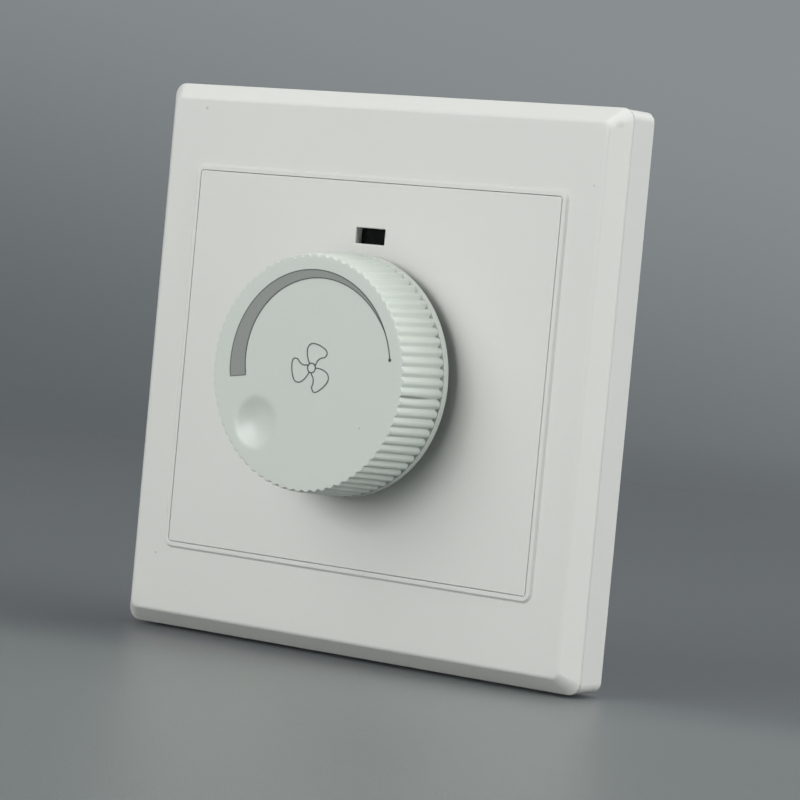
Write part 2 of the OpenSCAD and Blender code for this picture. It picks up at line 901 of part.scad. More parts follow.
// Flat outline of the ridged edge at a given radius over the ridges
module ridged_disc(r) {
    step = 360 / ridge_n;
    polygon([
        for (i = [0 : ridge_n - 1], k = [0 : 2])
            let (a = (i + ridge_turn + [0, ridge_rise, 1 - ridge_rise][k]) * step,
                rr = k == 0 ? r - ridge_h : r)
                [rr * cos(a), rr * sin(a)]
    ]);
}

// Outside of the knob: a tapering ridged body above a smooth ring
module knob_outside() {
    d1 = knob_d0 + ring_h;
    translate([0, -d1 + bite, 0]) rotate([90, 0, 0])
        linear_extrude(height = knob_d - d1 + bite, scale = face_r / ridge_r)
            ridged_disc(ridge_r);
    turned() polygon([
        [0, knob_d0],
        [knob_r - ring_edge, knob_d0],
        [knob_r, knob_d0 + ring_edge],
        [knob_r, d1 - ring_edge],
        [knob_r - ring_edge, d1],
        [0, d1],
    ]);
}

module knob() {
    color(knob_c) difference() {
        union() {
            difference() {
                knob_outside();
                rod(knob_d0 - over, knob_ceil_d, hollow_r);
            }
            rod(hub_d0, knob_ceil_d + bite, hub_r);
            knob_ribs();
        }
        hub_bore();
        block(-hub_r - over, hub_r + over, hub_d0 - over, hub_d0 + hub_slit_d,
            -hub_slit / 2, hub_slit / 2);
        rotate([0, -dimple_a, 0])
            translate([dimple_at, -knob_d - dimple_ball + dimple_h, 0]) sphere(r = dimple_ball);
    }
}

// Four ribs that carry the hub
module knob_ribs() {
    for (a = [45 : 90 : 315]) rotate([0, a, 0])
        block(hub_r - bite, hollow_r + bite, knob_rib_d0, knob_ceil_d + bite,
            -rib_t / 2, rib_t / 2);
}

// D-shaped hole in the hub
module hub_bore() {
    difference() {
        rod(hub_d0 - over, shaft_d + fit, shaft_r + hub_gap);
        block(flat_x + hub_gap, shaft_r + over, hub_d0 - 2 * over, knob_ceil_d + over,
            -shaft_r - over, shaft_r + over);
    }
}

module grip_ring() {
    r = hub_r + grip_gap;
    color(steel_c) difference() {
        rod(grip_d0, grip_d0 + grip_w, r + grip_t);
        rod(grip_d0 - over, grip_d0 + grip_w + over, r);
    }
}

// Point on the printing at a radius and a direction
function at(r, a) = [print_x + r * cos(a), print_z + r * sin(a)];

// Width of the scale at a direction
function scale_width(a) = scale_w * (a - scale_a1) / (scale_a0 - scale_a1);

// Flat outline of the tapering scale, grown by an extra width all round
module scale_shape(grow) {
    step = (scale_a0 - scale_a1) / scale_steps;
    grow_a = grow / scale_r * 180 / PI;
    function dir(i) = scale_a1 + i * step + (i == scale_steps ? grow_a : 0);
    polygon(concat(
        [for (i = [0 : scale_steps]) at(scale_r + grow, dir(i))],
        [for (i = [scale_steps : -1 : 0])
            at(scale_r - scale_width(scale_a1 + i * step) - grow, dir(i))]
    ));
}

module scale_band() {
    color(ink_c) slab(knob_d, knob_d + ink_t) scale_shape(0);
}

// One blade of the fan symbol, standing on its hub
module blade_shape() {
    difference() {
        hull() {
            translate(blade_tip * symbol_reach) circle(r = blade_tip_r * symbol_reach, $fn = hull_fn);
            translate(blade_heel * symbol_reach) circle(r = blade_heel_r * symbol_reach, $fn = hull_fn);
            circle(r = symbol_r, $fn = hull_fn);
        }
        translate(blade_scoop * symbol_reach) circle(r = blade_scoop_r * symbol_reach, $fn = hull_fn);
    }
}

// Outline of a blade as a line of the printing's width
module blade_line() {
    difference() {
        blade_shape();
        offset(delta = -line_w) blade_shape();
        circle(r = symbol_r, $fn = hull_fn);
    }
}

// Thin curved line that runs on from the scale's point
module scale_tail() {
    steps = 8;
    step = (scale_a1 + tail_lap - scale_a2) / steps;
    polygon(concat(
        [for (i = [0 : steps]) at(scale_r + line_w / 2, scale_a2 + i * step)],
        [for (i = [steps : -1 : 0]) at(scale_r - line_w / 2, scale_a2 + i * step)]
    ));
}

module dial_lines() {
    color(line_c) slab(knob_d, knob_d + ink_t) {
        difference() {
            scale_shape(line_w);
            scale_shape(0);
        }
        scale_tail();
        translate(at(scale_r, scale_a2)) circle(r = dot_r, $fn = hull_fn);
        translate([print_x + symbol_x, print_z + symbol_z]) {
            difference() {
                circle(r = symbol_r + line_w / 2, $fn = hull_fn);
                circle(r = symbol_r - line_w / 2, $fn = hull_fn);
            }
            for (a = [0, 120, 240]) rotate(a) blade_line();
        }
    }
}

module indicator_lamp() {
    color("#B9402E") translate([0, 0, window_z]) {
        rod(lamp_flange_d - lamp_flange_t, lamp_front_d - lamp_r, lamp_r);
        translate([0, -(lamp_front_d - lamp_r), 0]) sphere(r = lamp_r);
        rod(lamp_flange_d - lamp_flange_t, lamp_flange_d, lamp_flange_r);
        for (s = [-1, 1]) block(s * lamp_lead_x - lamp_lead_w / 2, s * lamp_lead_x + lamp_lead_w / 2,
            board_back_d - pin_out, lamp_flange_d - lamp_flange_t,
            -lamp_lead_w / 2, lamp_lead_w / 2);
    }
}

module heat_sink() {
    foot_x = -box_in_w / 2 + sink_edge;
    color("#A9ADB0") difference() {
        union() {
            block(sink_x, sink_x + sink_t, sink_back_d, board_back_d, sink_z0, sink_z0 + sink_l);
            block(foot_x, sink_x + sink_t, board_back_d - foot_t, board_back_d,
                sink_z0, sink_z0 + sink_l);
        }
        triac_hole();
    }
}

// Hole along X through the heat sink and the triac's tab
module triac_hole() {
    translate([sink_x - over, -triac_d, triac_hole_z]) rotate([0, 90, 0])
        cylinder(h = sink_t + tab_t + 2 * over, r = m3_hole_r);
}

module triac() {
    color(black_c) difference() {
        union() {
            block(tab_x, tab_x + tab_t, triac_d - triac_w / 2, triac_d + triac_w / 2,
                triac_z0, triac_z0 + triac_l + tab_l);
            block(tab_x, tab_x + triac_t, triac_d - triac_w / 2, triac_d + triac_w / 2,
                triac_z0, triac_z0 + triac_l);
        }
        triac_hole();
    }
    color(steel_c) for (i = [-1, 0, 1]) triac_leg(i);
}

// Leg that leaves the triac downwards and turns to the board
module triac_leg(i) {
    x = tab_x + leg_x;
    d = triac_d + i * leg_pitch;
    low = triac_z0 - leg_drop + i * leg_step;
    block(x, x + leg_t, d - leg_w / 2, d + leg_w / 2, low, triac_z0);
    block(x, x + leg_t, d - leg_w / 2, board_back_d, low - leg_w, low);
}

module triac_screw() {
    x0 = tab_x + tab_t;
    color(steel_c) translate([0, -triac_d, triac_hole_z]) rotate([0, 90, 0]) difference() {
        union() {
            translate([0, 0, sink_x - m3_nut_h]) cylinder(h = x0 - sink_x + m3_nut_h, r = m3_r);
            translate([0, 0, x0]) cylinder(h = m3_head_h, r = m3_head_r);
        }
        translate([-driver_w / 2, -m3_head_r - over, x0 + m3_head_h - driver_h])
            cube([driver_w, 2 * (m3_head_r + over), driver_h + over]);
    }
}

module triac_nut() {
    color(steel_c) translate([sink_x - m3_nut_h, -triac_d, triac_hole_z]) rotate([0, 90, 0])
        difference() {
            cylinder(h = m3_nut_h, r = m3_nut_af / sqrt(3), $fn = 6);
            translate([0, 0, -over]) cylinder(h = m3_nut_h + 2 * over, r = m3_r + thread_gap);
        }
}

module film_capacitor() {
    color("#C7A83A") translate([film_x, 0, film_z])
        slab(board_back_d - film_h, board_back_d) round_rect(film_l, film_t, film_r);
}

module timing_capacitor() {
    color("#9E2F28") translate([timing_x, 0, timing_z])
        slab(board_back_d - timing_h, board_back_d) round_rect(timing_l, timing_t, timing_r);
}

module choke_core() {
    color("#6F7C58") translate([choke_x, 0, choke_z]) difference() {
        rod(choke_back_d - core_h, choke_back_d, core_ro);
        rod(choke_back_d - core_h - over, choke_back_d + over, core_ri);
    }
}

// Turns of wire round the core, each a flat-sided loop
module choke_winding() {
    w = core_ro - core_ri + 2 * winding_gap;
    h = core_h + 2 * winding_gap;
    mid_r = (core_ro + core_ri) / 2;
    mid_d = choke_back_d - core_h / 2;
    color("#B4632C") translate([choke_x, -mid_d, choke_z])
        for (i = [0 : turn_n - 1]) rotate([0, turn_a0 + i * turn_span / (turn_n - 1), 0])
            translate([mid_r, 0, -wire_t / 2]) linear_extrude(height = wire_t) difference() {
                square([w + 2 * wire_t, h + 2 * wire_t], center = true);
                square([w, h], center = true);
            }
}

// Axial part with its two leads bent down to the board
module axial_part(len, r, half_span) {
    d = board_back_d - res_lift - r;
    translate([-len / 2, -d, 0]) rotate([0, 90, 0]) cylinder(h = len, r = r);
    translate([-half_span, -d, 0]) rotate([0, 90, 0]) cylinder(h = 2 * half_span, r = lead_r);
    for (s = [-1, 1]) translate([s * (half_span - lead_r), 0, 0])
        rod(d, board_back_d, lead_r);
}

module resistors() {
    color("#C9B288") for (i = [0 : res_n - 1])
        translate([res_x, 0, res_z[i]]) axial_part(res_l, res_r, res_lead_x);
}

module diac() {
    color("#2F4E86") translate([res_x, 0, diac_z]) axial_part(diac_l, diac_r, res_lead_x);
}

module at_poles() {
    for (s = [-1, 1]) translate([s * pole_pitch / 2, 0, clamp_z]) children();
}

module terminal_block() {
    w = clamp_w / 2 + clamp_gap;
    h = clamp_h / 2 + clamp_gap;
    color("#E3E3DC") difference() {
        block(-block_w / 2, block_w / 2, -box_d, block_front_d, block_z0, block_z0 + block_h);
        at_poles() {
            block(-w, w, -box_d - over, clamp_front_d, -h, h);
            block(-clamp_pin_w / 2 - fit, clamp_pin_w / 2 + fit, clamp_front_d - over,
                block_front_d + over, -clamp_pin_w / 2 - fit, clamp_pin_w / 2 + fit);
        }
        for (s = [-1, 1]) translate([s * pole_pitch / 2, -wire_d, block_z0 - over])
            cylinder(h = entry_len + 2 * over, r = entry_r);
    }
}

module terminal_clamps() {
    color(brass_c) at_poles() difference() {
        union() {
            block(-clamp_w / 2, clamp_w / 2, clamp_back_d, clamp_front_d,
                -clamp_h / 2, clamp_h / 2);
            block(-clamp_pin_w / 2, clamp_pin_w / 2, clamp_front_d - pin_root,
                board_front_d + clamp_pin_out, -clamp_pin_w / 2, clamp_pin_w / 2);
        }
        translate([0, -wire_d, -clamp_h / 2 - over])
            cylinder(h = clamp_h + 2 * over, r = wire_r);
        rod(clamp_back_d - over, wire_d, term_r + thread_gap);
    }
}

module terminal_screws() {
    d0 = clamp_back_d - term_lift;
    color(steel_c) at_poles() difference() {
        union() {
            rod(d0, wire_d - wire_r - term_tip_gap, term_r);
            rod(d0 - term_head_h, d0, term_head_r);
        }
        block(-term_head_r - over, term_head_r + over, d0 - term_head_h - over,
            d0 - term_head_h + driver_h, -driver_w / 2, driver_w / 2);
    }
}

front_cover();
centre_panel();
indicator_lens();
mounting_frame();
rear_housing();
housing_screws();
circuit_board();
board_screws();
pot_bushing();
pot_washer();
pot_nut();
pot_can();
pot_track();
pot_pins();
switch_can();
pot_shaft();
retaining_ring();
wiper_rotor();
wiper_contact();
knob();
grip_ring();
scale_band();
dial_lines();
indicator_lamp();
triac();
triac_screw();
triac_nut();
heat_sink();
film_capacitor();
timing_capacitor();
choke_core();
choke_winding();
resistors();
diac();
terminal_block();
terminal_clamps();
terminal_screws();
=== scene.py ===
"""Looks of a wall-mounted fan speed control on a square plate.

Blender's units are metres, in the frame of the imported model: X runs to the right, Y into the wall and
Z up. The classes hold their sizes in millimetres, as on a drawing. A depth counts from the wall plane
towards the room, so it is negative in the wall box.
"""

from __future__ import annotations

import logging
import math
from collections.abc import Callable, Sequence
from dataclasses import dataclass
from enum import Enum

import bmesh
import bpy
from mathutils import Matrix, Vector


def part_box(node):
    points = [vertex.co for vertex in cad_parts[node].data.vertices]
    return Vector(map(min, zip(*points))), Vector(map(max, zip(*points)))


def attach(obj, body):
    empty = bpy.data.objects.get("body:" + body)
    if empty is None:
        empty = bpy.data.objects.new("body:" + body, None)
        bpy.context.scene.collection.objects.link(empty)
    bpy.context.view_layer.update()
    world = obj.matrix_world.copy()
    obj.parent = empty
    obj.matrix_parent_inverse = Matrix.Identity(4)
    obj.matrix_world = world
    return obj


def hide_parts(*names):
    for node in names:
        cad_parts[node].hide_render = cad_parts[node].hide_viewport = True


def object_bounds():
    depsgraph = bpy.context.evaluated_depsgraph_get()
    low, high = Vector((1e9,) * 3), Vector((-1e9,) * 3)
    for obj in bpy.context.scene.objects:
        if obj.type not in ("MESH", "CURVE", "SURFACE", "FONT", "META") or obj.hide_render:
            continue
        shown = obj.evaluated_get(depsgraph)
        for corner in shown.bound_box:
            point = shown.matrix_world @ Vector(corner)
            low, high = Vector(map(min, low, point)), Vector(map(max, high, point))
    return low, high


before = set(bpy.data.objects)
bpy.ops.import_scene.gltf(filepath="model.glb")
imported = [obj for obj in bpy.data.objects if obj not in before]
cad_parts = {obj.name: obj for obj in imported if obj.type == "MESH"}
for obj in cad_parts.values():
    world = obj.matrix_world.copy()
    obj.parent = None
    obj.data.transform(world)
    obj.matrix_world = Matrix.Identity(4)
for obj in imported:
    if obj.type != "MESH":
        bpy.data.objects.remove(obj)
CAD_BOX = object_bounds()
MM = 0.001
log = logging.getLogger("fan_speed_control")

Point = tuple[float, float]
Span = tuple[float, float]
Place = tuple[float, float, float]
Ring = list[bmesh.types.BMVert]
Tree = bpy.types.NodeTree
Node = bpy.types.Node
Socket = bpy.types.NodeSocket


class Body(Enum):
    """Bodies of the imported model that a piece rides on."""

    BASE = "base"
    KNOB = "knob"


class Slot(Enum):
    """Material slots of the record."""

    COVER = "cover_plastic"
    HOUSING = "housing_plastic"
    KNOB = "knob_plastic"
    TERMINAL = "terminal_plastic"
    LINES = "line_ink"


# Sizes and colours


def box_mm(node: str) -> tuple[Vector, Vector]:
    """Gives the lowest and highest corner of a CAD node at rest, in millimetres."""
    low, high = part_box(node)
    return low / MM, high / MM


def per_metre(size_mm: float) -> float:
    """Gives the scale at which a texture's patches have a real size."""
    return 1 / (size_mm * MM)


def linear(colour: str) -> tuple[float, float, float, float]:
    """Turns an sRGB hex colour to Blender's linear values.

    Args:
        colour: A colour such as "#C7C9C5".

    Returns:
        Linear red, green and blue, and an alpha of 1.
    """
    parts = [int(colour[i : i + 2], 16) / 255 for i in (1, 3, 5)]
    red, green, blue = (c / 12.92 if c <= 0.04045 else ((c + 0.055) / 1.055) ** 2.4 for c in parts)
    return red, green, blue, 1.0


# Finishes


def empty_tree(owner: bpy.types.Material | bpy.types.World) -> Tree:
    """Gives a material or world a node tree with no nodes in it.

    Args:
        owner: The material or world.

    Returns:
        Its node tree.
    """
    owner.use_nodes = True
    owner.node_tree.nodes.clear()
    return owner.node_tree


def add_node(tree: Tree, kind: str, settings: dict | None = None, links: dict | None = None) -> Node:
    """Adds a shader node with its settings and links.

    Args:
        tree: Node tree that gets the node.
        kind: Blender's type name of the node, without its "ShaderNode" prefix.
        settings: Values by name. A name that the node has as a property is set there, and any other
            name or number is an input socket.
        links: What feeds each input socket, by the socket's name or number. That is an output socket,
            or a node, which stands for its first output.

    Returns:
        The new node.
    """
    node = tree.nodes.new("ShaderNode" + kind)
    for key, value in (settings or {}).items():
        if isinstance(key, str) and hasattr(node, key):
            setattr(node, key, value)
        else:
            node.inputs[key].default_value = value
    for key, source in (links or {}).items():
        tree.links.new(source.outputs[0] if isinstance(source, Node) else source, node.inputs[key])
    return node


@dataclass(frozen=True)
class Surface:
    """Nodes of one material while its finish is added.

    Attributes:
        tree: Node tree of the material.
        shader: Its Principled shader.
        place: Output socket with the place in the object's own frame, in metres.
    """

    tree: Tree
    shader: Node
    place: Socket

    def tint(self, colour: str, amount: Node, spread: float) -> Node:
        """Gives the shader a colour that varies round its mean.

        Args:
            colour: The sRGB colour.
            amount: Node with a value from 0 to 1 that steers the variation.
            spread: Share by which the colour darkens or lightens at most.

        Returns:
            The node with the varied colour.
        """
        span = {"To Min": 1 - spread, "To Max": 1 + spread}
        value = add_node(self.tree, "MapRange", span, {"Value": amount})
        varied = add_node(self.tree, "HueSaturation", {"Color": linear(colour)}, {"Value": value})
        self.tree.links.new(varied.outputs["Color"], self.shader.inputs["Base Color"])
        return varied

    def raise_pattern(self, height: Node, relief_mm: float) -> None:
        """Gives the shader a fine relief, from a node with a height from 0 to 1."""
        bump = add_node(self.tree, "Bump", {"Distance": relief_mm * MM, "Strength": 1.0}, {"Height": height})
        self.tree.links.new(bump.outputs["Normal"], self.shader.inputs["Normal"])

    def vary_gloss(self, amount: Node, low: float, high: float) -> None:
        """Lets the shader's roughness run from low to high with a node's value."""
        rough = add_node(self.tree, "MapRange", {"To Min": low, "To Max": high}, {"Value": amount})
        self.tree.links.new(rough.outputs["Result"], self.shader.inputs["Roughness"])


@dataclass(frozen=True)
class Finish:
    """Surface of a real material, made as procedural nodes.

    Attributes:
        name: What the material is and how its surface was made.
        colour: Its sRGB colour.
        roughness: Its mean roughness.
        patch_mm: Size of the patches of its pattern.
        detail: How many finer layers the pattern has.
        spread: Share by which the pattern darkens or lightens the colour.
        relief_mm: Height of the pattern.
    """

    name: str
    colour: str
    roughness: float
    patch_mm: float = 1.0
    detail: float = 2.0
    spread: float = 0.1
    relief_mm: float = 0.0

    def material(self) -> bpy.types.Material:
        """Makes the material, or gives the one that was made before.

        Returns:
            The material of that name.
        """
        made = bpy.data.materials.get(self.name)
        if made is not None:
            return made
        made = bpy.data.materials.new(self.name)
        tree = empty_tree(made)
        place = add_node(tree, "TexCoord").outputs["Object"]
        shader = add_node(tree, "BsdfPrincipled", {"Roughness": self.roughness})
        add_node(tree, "OutputMaterial", links={"Surface": shader})
        self.dress(Surface(tree, shader, place))
        return made

    def pattern(self, surface: Surface) -> Node:
        """Adds soft noise from 0 to 1 whose patches have their real size."""
        settings = {"Scale": per_metre(self.patch_mm), "Detail": self.detail}
        return add_node(surface.tree, "TexNoise", settings, {"Vector": surface.place})

    def dress(self, surface: Surface) -> None:
        """Lets the pattern vary the colour and raise the surface.

        Args:
            surface: Nodes of the material.
        """
        pattern = self.pattern(surface)
        surface.tint(self.colour, pattern, self.spread)
        surface.raise_pattern(pattern, self.relief_mm)


@dataclass(frozen=True)
class Speck:
    """A speck of dirt on a front face.

    Attributes:
        x: Place to the right of the knob's axis, in mm.
        z: Place above the knob's axis, in mm.
        r: Radius in mm. The speck is full to half of it and fades from there.
        dark: How much of the surface's colour the speck takes away, from 0 to 1.
    """

    x: float
    z: float
    r: float
    dark: float


@dataclass(frozen=True)
class MouldedPlastic(Finish):
    """Plastic with the satin surface that a spark-eroded mould, or the turning of a rod, leaves.

    The eye sees a soft sheen with no sharp reflection, a faint flow mottle and a very fine grain. The
    real grain is about 0.05 mm and is drawn coarser, so that it shows.

    Attributes:
        ior: Refractive index of the plastic.
        uneven: How far the grain lets the roughness stray from its mean.
        flow_mm: Size of the flow mottle, which varies the colour.
        specks: Dirt on the front.
        dirt: Colour of that dirt.
    """

    patch_mm: float = 0.22
    detail: float = 3.0
    spread: float = 0.018
    relief_mm: float = 0.0016
    ior: float = 1.53
    uneven: float = 0.05
    flow_mm: float = 26.0
    specks: tuple[Speck, ...] = ()
    dirt: str = "#3A3A36"

    def dress(self, surface: Surface) -> None:
        """Adds mottle, grain and specks.

        Args:
            surface: Nodes of the material.
        """
        tree, shader = surface.tree, surface.shader
        shader.inputs["IOR"].default_value = self.ior
        flow = add_node(tree, "TexNoise", {"Scale": per_metre(self.flow_mm)}, {"Vector": surface.place})
        colour = surface.tint(self.colour, flow, self.spread)
        grain = self.pattern(surface)
        surface.raise_pattern(grain, self.relief_mm)
        surface.vary_gloss(grain, self.roughness - self.uneven, self.roughness + self.uneven)
        for speck in self.specks:
            colour = self.spot(surface, colour, speck)
        tree.links.new(colour.outputs["Color"], shader.inputs["Base Color"])

    def spot(self, surface: Surface, colour: Node, speck: Speck) -> Node:
        """Darkens the colour at one speck.

        Args:
            surface: Nodes of the material.
            colour: Node with the colour so far.
            speck: The speck.

        Returns:
            The node with the colour and the speck in it.
        """
        tree, r = surface.tree, speck.r * MM
        middle = (speck.x * MM, 0.0, speck.z * MM)
        front = {"operation": "MULTIPLY", 1: (1.0, 0.0, 1.0)}
        flat = add_node(tree, "VectorMath", front, {0: surface.place})
        away = add_node(tree, "VectorMath", {"operation": "DISTANCE", 1: middle}, {0: flat})
        fade = {"From Min": r / 2, "From Max": r, "To Min": speck.dark, "To Max": 0.0}
        share = add_node(tree, "MapRange", fade, {"Value": away.outputs["Value"]})
        return add_node(tree, "MixRGB", {"Color2": linear(self.dirt)}, {"Fac": share, "Color1": colour})


@dataclass(frozen=True)
class PrintedInk(Finish):
    """Pad-printed ink, dried thin and matt on moulded plastic.

    The eye sees a flat tone with faint pinholes where the pad left less ink.
    """

    patch_mm: float = 0.12
    detail: float = 1.0
    spread: float = 0.09
    relief_mm: float = 0.002


@dataclass(frozen=True)
class DippedCoat(Finish):
    """Skin of a dipped, painted, cast or fused part.

    The eye sees a glossy, slightly uneven skin like orange peel.
    """

    patch_mm: float = 0.9
    relief_mm: float = 0.03


@dataclass(frozen=True)
class SmokedAcrylic(Finish):
    """Smoked acrylic sheet, polished, almost black, with faint smears.

    The eye sees a dark pane with a clear small highlight.

    Attributes:
        ior: Refractive index of acrylic.
        shine: Strength of its reflection. It lies deep in its window, so it mirrors little.
        smear: How much rougher the smears are.
    """

    patch_mm: float = 0.8
    spread: float = 0.2
    ior: float = 1.49
    shine: float = 0.12
    smear: float = 0.12

    def dress(self, surface: Surface) -> None:
        """Adds faint smears to the polish.

        Args:
            surface: Nodes of the material.
        """
        surface.shader.inputs["IOR"].default_value = self.ior
        surface.shader.inputs["Specular IOR Level"].default_value = self.shine
        smears = self.pattern(surface)
        surface.tint(self.colour, smears, self.spread)
        surface.vary_gloss(smears, self.roughness, self.roughness + self.smear)


@dataclass(frozen=True)
class Metal(Finish):
    """Bare or plated metal with the marks of how it was made.

    The eye sees a bright reflection that the marks stretch or break up. A mark is a scratch, a turning
    groove or a crystal of zinc.

    Attributes:
        stretch: How much longer than wide a mark is along the object's X axis.
        cloud_mm: Size of the patches in which the metal is duller or brighter.
        brighter: How far the roughness falls in a bright patch.
        duller: How far it rises in a dull one.
    """

    patch_mm: float = 0.15
    detail: float = 3.0
    spread: float = 0.08
    relief_mm: float = 0.003
    stretch: float = 1.0
    cloud_mm: float = 2.5
    brighter: float = 0.08
    duller: float = 0.12

    def pattern(self, surface: Surface) -> Node:
        """Adds the making marks.

        Args:
            surface: Nodes of the material.

        Returns:
            The node with the marks, from 0 to 1.
        """
        drawn = {"operation": "MULTIPLY", 1: (1 / self.stretch, 1.0, 1.0)}
        along = add_node(surface.tree, "VectorMath", drawn, {0: surface.place})
        settings = {"Scale": per_metre(self.patch_mm), "Detail": self.detail}
        return add_node(surface.tree, "TexNoise", settings, {"Vector": along})

    def dress(self, surface: Surface) -> None:
        """Adds the marks and the patches of other gloss.

        Args:
            surface: Nodes of the material.
        """
        super().dress(surface)
        surface.shader.inputs["Metallic"].default_value = 1.0
        size = {"Scale": per_metre(self.cloud_mm)}
        cloud = add_node(surface.tree, "TexNoise", size, {"Vector": surface.place})
        surface.vary_gloss(cloud, self.roughness - self.brighter, self.roughness + self.duller)


@dataclass(frozen=True)
class WovenLaminate(Finish):
    """Resin-bonded laminate whose cloth or paper shows through the surface.

    The eye sees a tan board with a faint crossed weave. A patch is the distance between two threads.

    Attributes:
        bands: Scale at which Blender's wave texture repeats about once in a metre.
        waver: How far the threads stray.
    """

    patch_mm: float = 0.5
    relief_mm: float = 0.01
    bands: float = 0.31832
    waver: float = 0.6

    def pattern(self, surface: Surface) -> Node:
        """Adds the crossed threads.

        Args:
            surface: Nodes of the material.

        Returns:
            The node with the weave, from 0 to 1.
        """
        threads = {}
        for number, way in enumerate(("X", "Z")):
            scale = self.bands * per_metre(self.patch_mm)
            settings = {"bands_direction": way, "Scale": scale, "Distortion": self.waver}
            wave = add_node(surface.tree, "TexWave", settings, {"Vector": surface.place})
            threads[number] = wave.outputs["Fac"]
        return add_node(surface.tree, "Math", {"operation": "MULTIPLY"}, threads)


# White urea moulding: a soft sheen and a warm grey-white, with dust specks where the photo has them
PLATE_PLASTIC = MouldedPlastic(
    "urea_spark_eroded_white",
    "#D2D4CF",
    0.42,
    specks=(
        Speck(-34.2, 39.1, 0.3, 0.3),
        Speck(-36.6, -31.6, 0.22, 0.4),
        Speck(39.0, 31.3, 0.22, 0.25),
        Speck(41.7, 40.4, 0.6, 0.12),
    ),
)
# The same plastic from a plainer mould: a little greyer
FRAME_PLASTIC = MouldedPlastic("urea_moulded_white", "#C7C9C5", 0.42)
# Polycarbonate housing: greyer, with the plain satin of an untextured cavity
HOUSING_PLASTIC = MouldedPlastic("polycarbonate_moulded_grey_white", "#CBCDC8", 0.38)
# ABS knob: cooler and greener than the plate, with a slightly tighter sheen
KNOB_PLASTIC = MouldedPlastic(
    "abs_moulded_pale_green_white",
    "#C6CDC6",
    0.36,
    patch_mm=0.18,
    spread=0.012,
    specks=(Speck(17.6, -1.9, 0.3, 0.6), Speck(10.6, -7.2, 0.22, 0.3)),
)
# Natural nylon: creamy and waxy
TERMINAL_PLASTIC = MouldedPlastic("nylon_moulded_natural", "#E3E2D6", 0.33)
# Pad-printed inks: flat and matt, a mid grey for the scale's band and a dark one for the lines
SCALE_INK = PrintedInk("pad_ink_matt_grey", "#868B87", 0.6)
LINE_INK = PrintedInk("pad_ink_matt_dark_grey", "#545A55", 0.6)
# Polished smoked acrylic: almost black, with a small clear highlight
LENS = SmokedAcrylic("acrylic_smoked_polished", "#0B0C0C", 0.08)
# Cast epoxy: deep red and glossy
LAMP = DippedCoat("epoxy_cast_red", "#8E1F18", 0.15)
# Zinc plate on pressed steel: cool, slightly blue, with a fine crystal mottle
ZINC = Metal("steel_zinc_plated", "#BFC3C6", 0.32, patch_mm=0.3)
# Die-cast zinc: darker and duller, with a pebbled skin
CAST_ZINC = Metal("zinc_die_cast", "#A9ABAA", 0.42, patch_mm=0.25, relief_mm=0.006)
# Tin on thin steel strip: brighter, drawn along the strip
TIN = Metal("steel_tinned_rolled", "#CFCFC9", 0.28, patch_mm=0.08, stretch=12)
# Rolled aluminium sheet: long fine rolling lines
ALUMINIUM = Metal("aluminium_rolled_sheet", "#C9CCCE", 0.36, patch_mm=0.1, stretch=20)
# Turned brass: warm yellow with fine grooves
BRASS = Metal("brass_turned", "#C79A45", 0.26, patch_mm=0.12, stretch=8)
# Enamelled copper wire: reddish under clear varnish
COPPER = Metal("copper_enamelled_wire", "#A9552B", 0.25, patch_mm=0.6, spread=0.12)
# Phenolic board: tan with a dull resin skin over the weave
BOARD = WovenLaminate("phenolic_paper_laminate", "#B48A50", 0.55)
# Turned acetal: waxy off-white
SHAFT = MouldedPlastic("acetal_turned_natural", "#E2E2DA", 0.4, patch_mm=0.15)
# Moulded phenolic: dull black with cloudy flow marks
BLACK = MouldedPlastic("phenolic_moulded_black", "#1D1F20", 0.45, spread=0.08)
# Moulded polyester case: even and opaque yellow
YELLOW_CASE = MouldedPlastic("polyester_case_yellow", "#C4A235", 0.35)
# Dipped epoxy: glossy brick red
RED_DIP = DippedCoat("epoxy_dipped_red", "#8E2A22", 0.25)
# Painted iron powder: dull green over fine pebbles
IRON_POWDER = DippedCoat("iron_powder_painted_green", "#66735A", 0.5, patch_mm=0.4)
# Resistor lacquer: beige with a soft gloss
LACQUER = DippedCoat("resistor_lacquer_beige", "#C2A97C", 0.35, patch_mm=0.5)
# Sealed glass: a clear gloss over blue
BLUE_GLASS = DippedCoat("glass_sealed_blue", "#2B4A7C", 0.12)

NODES_BY_FINISH: dict[Finish, tuple[str, ...]] = {
    LENS: ("indicator_lens",),
    LAMP: ("indicator_lamp",),
    ZINC: (
        "housing_screws",
        "board_screws",
        "pot_washer",
        "pot_nut",
        "retaining_ring",
        "grip_ring",
        "triac_screw",
        "triac_nut",
        "terminal_screws",
    ),
    CAST_ZINC: ("pot_bushing",),
    TIN: ("pot_can", "pot_pins"),
    BOARD: ("pot_track", "circuit_board"),
    BLACK: ("switch_can", "wiper_rotor", "triac"),
    SHAFT: ("pot_shaft",),
    BRASS: ("wiper_contact", "terminal_clamps"),
    SCALE_INK: ("scale_band",),
    ALUMINIUM: ("heat_sink",),
    YELLOW_CASE: ("film_capacitor",),
    RED_DIP: ("timing_capacitor",),
    IRON_POWDER: ("choke_core",),
    COPPER: ("choke_winding",),
    LACQUER: ("resistors",),
    BLUE_GLASS: ("diac",),
}


# Flat outlines


def polar(radius: float, angle: float, centre: Point = (0.0, 0.0)) -> Point:
    """Gives the point at a distance and an angle in radians from a centre, as X and Z in mm."""
    return centre[0] + radius * math.cos(angle), centre[1] + radius * math.sin(angle)


def arc(radius: float, span: Span, steps: int, centre: Point = (0.0, 0.0)) -> list[Point]:
    """Points of an arc between two angles in radians, both ends included, in mm."""
    turn = (span[1] - span[0]) / steps
    return [polar(radius, span[0] + turn * step, centre) for step in range(steps + 1)]


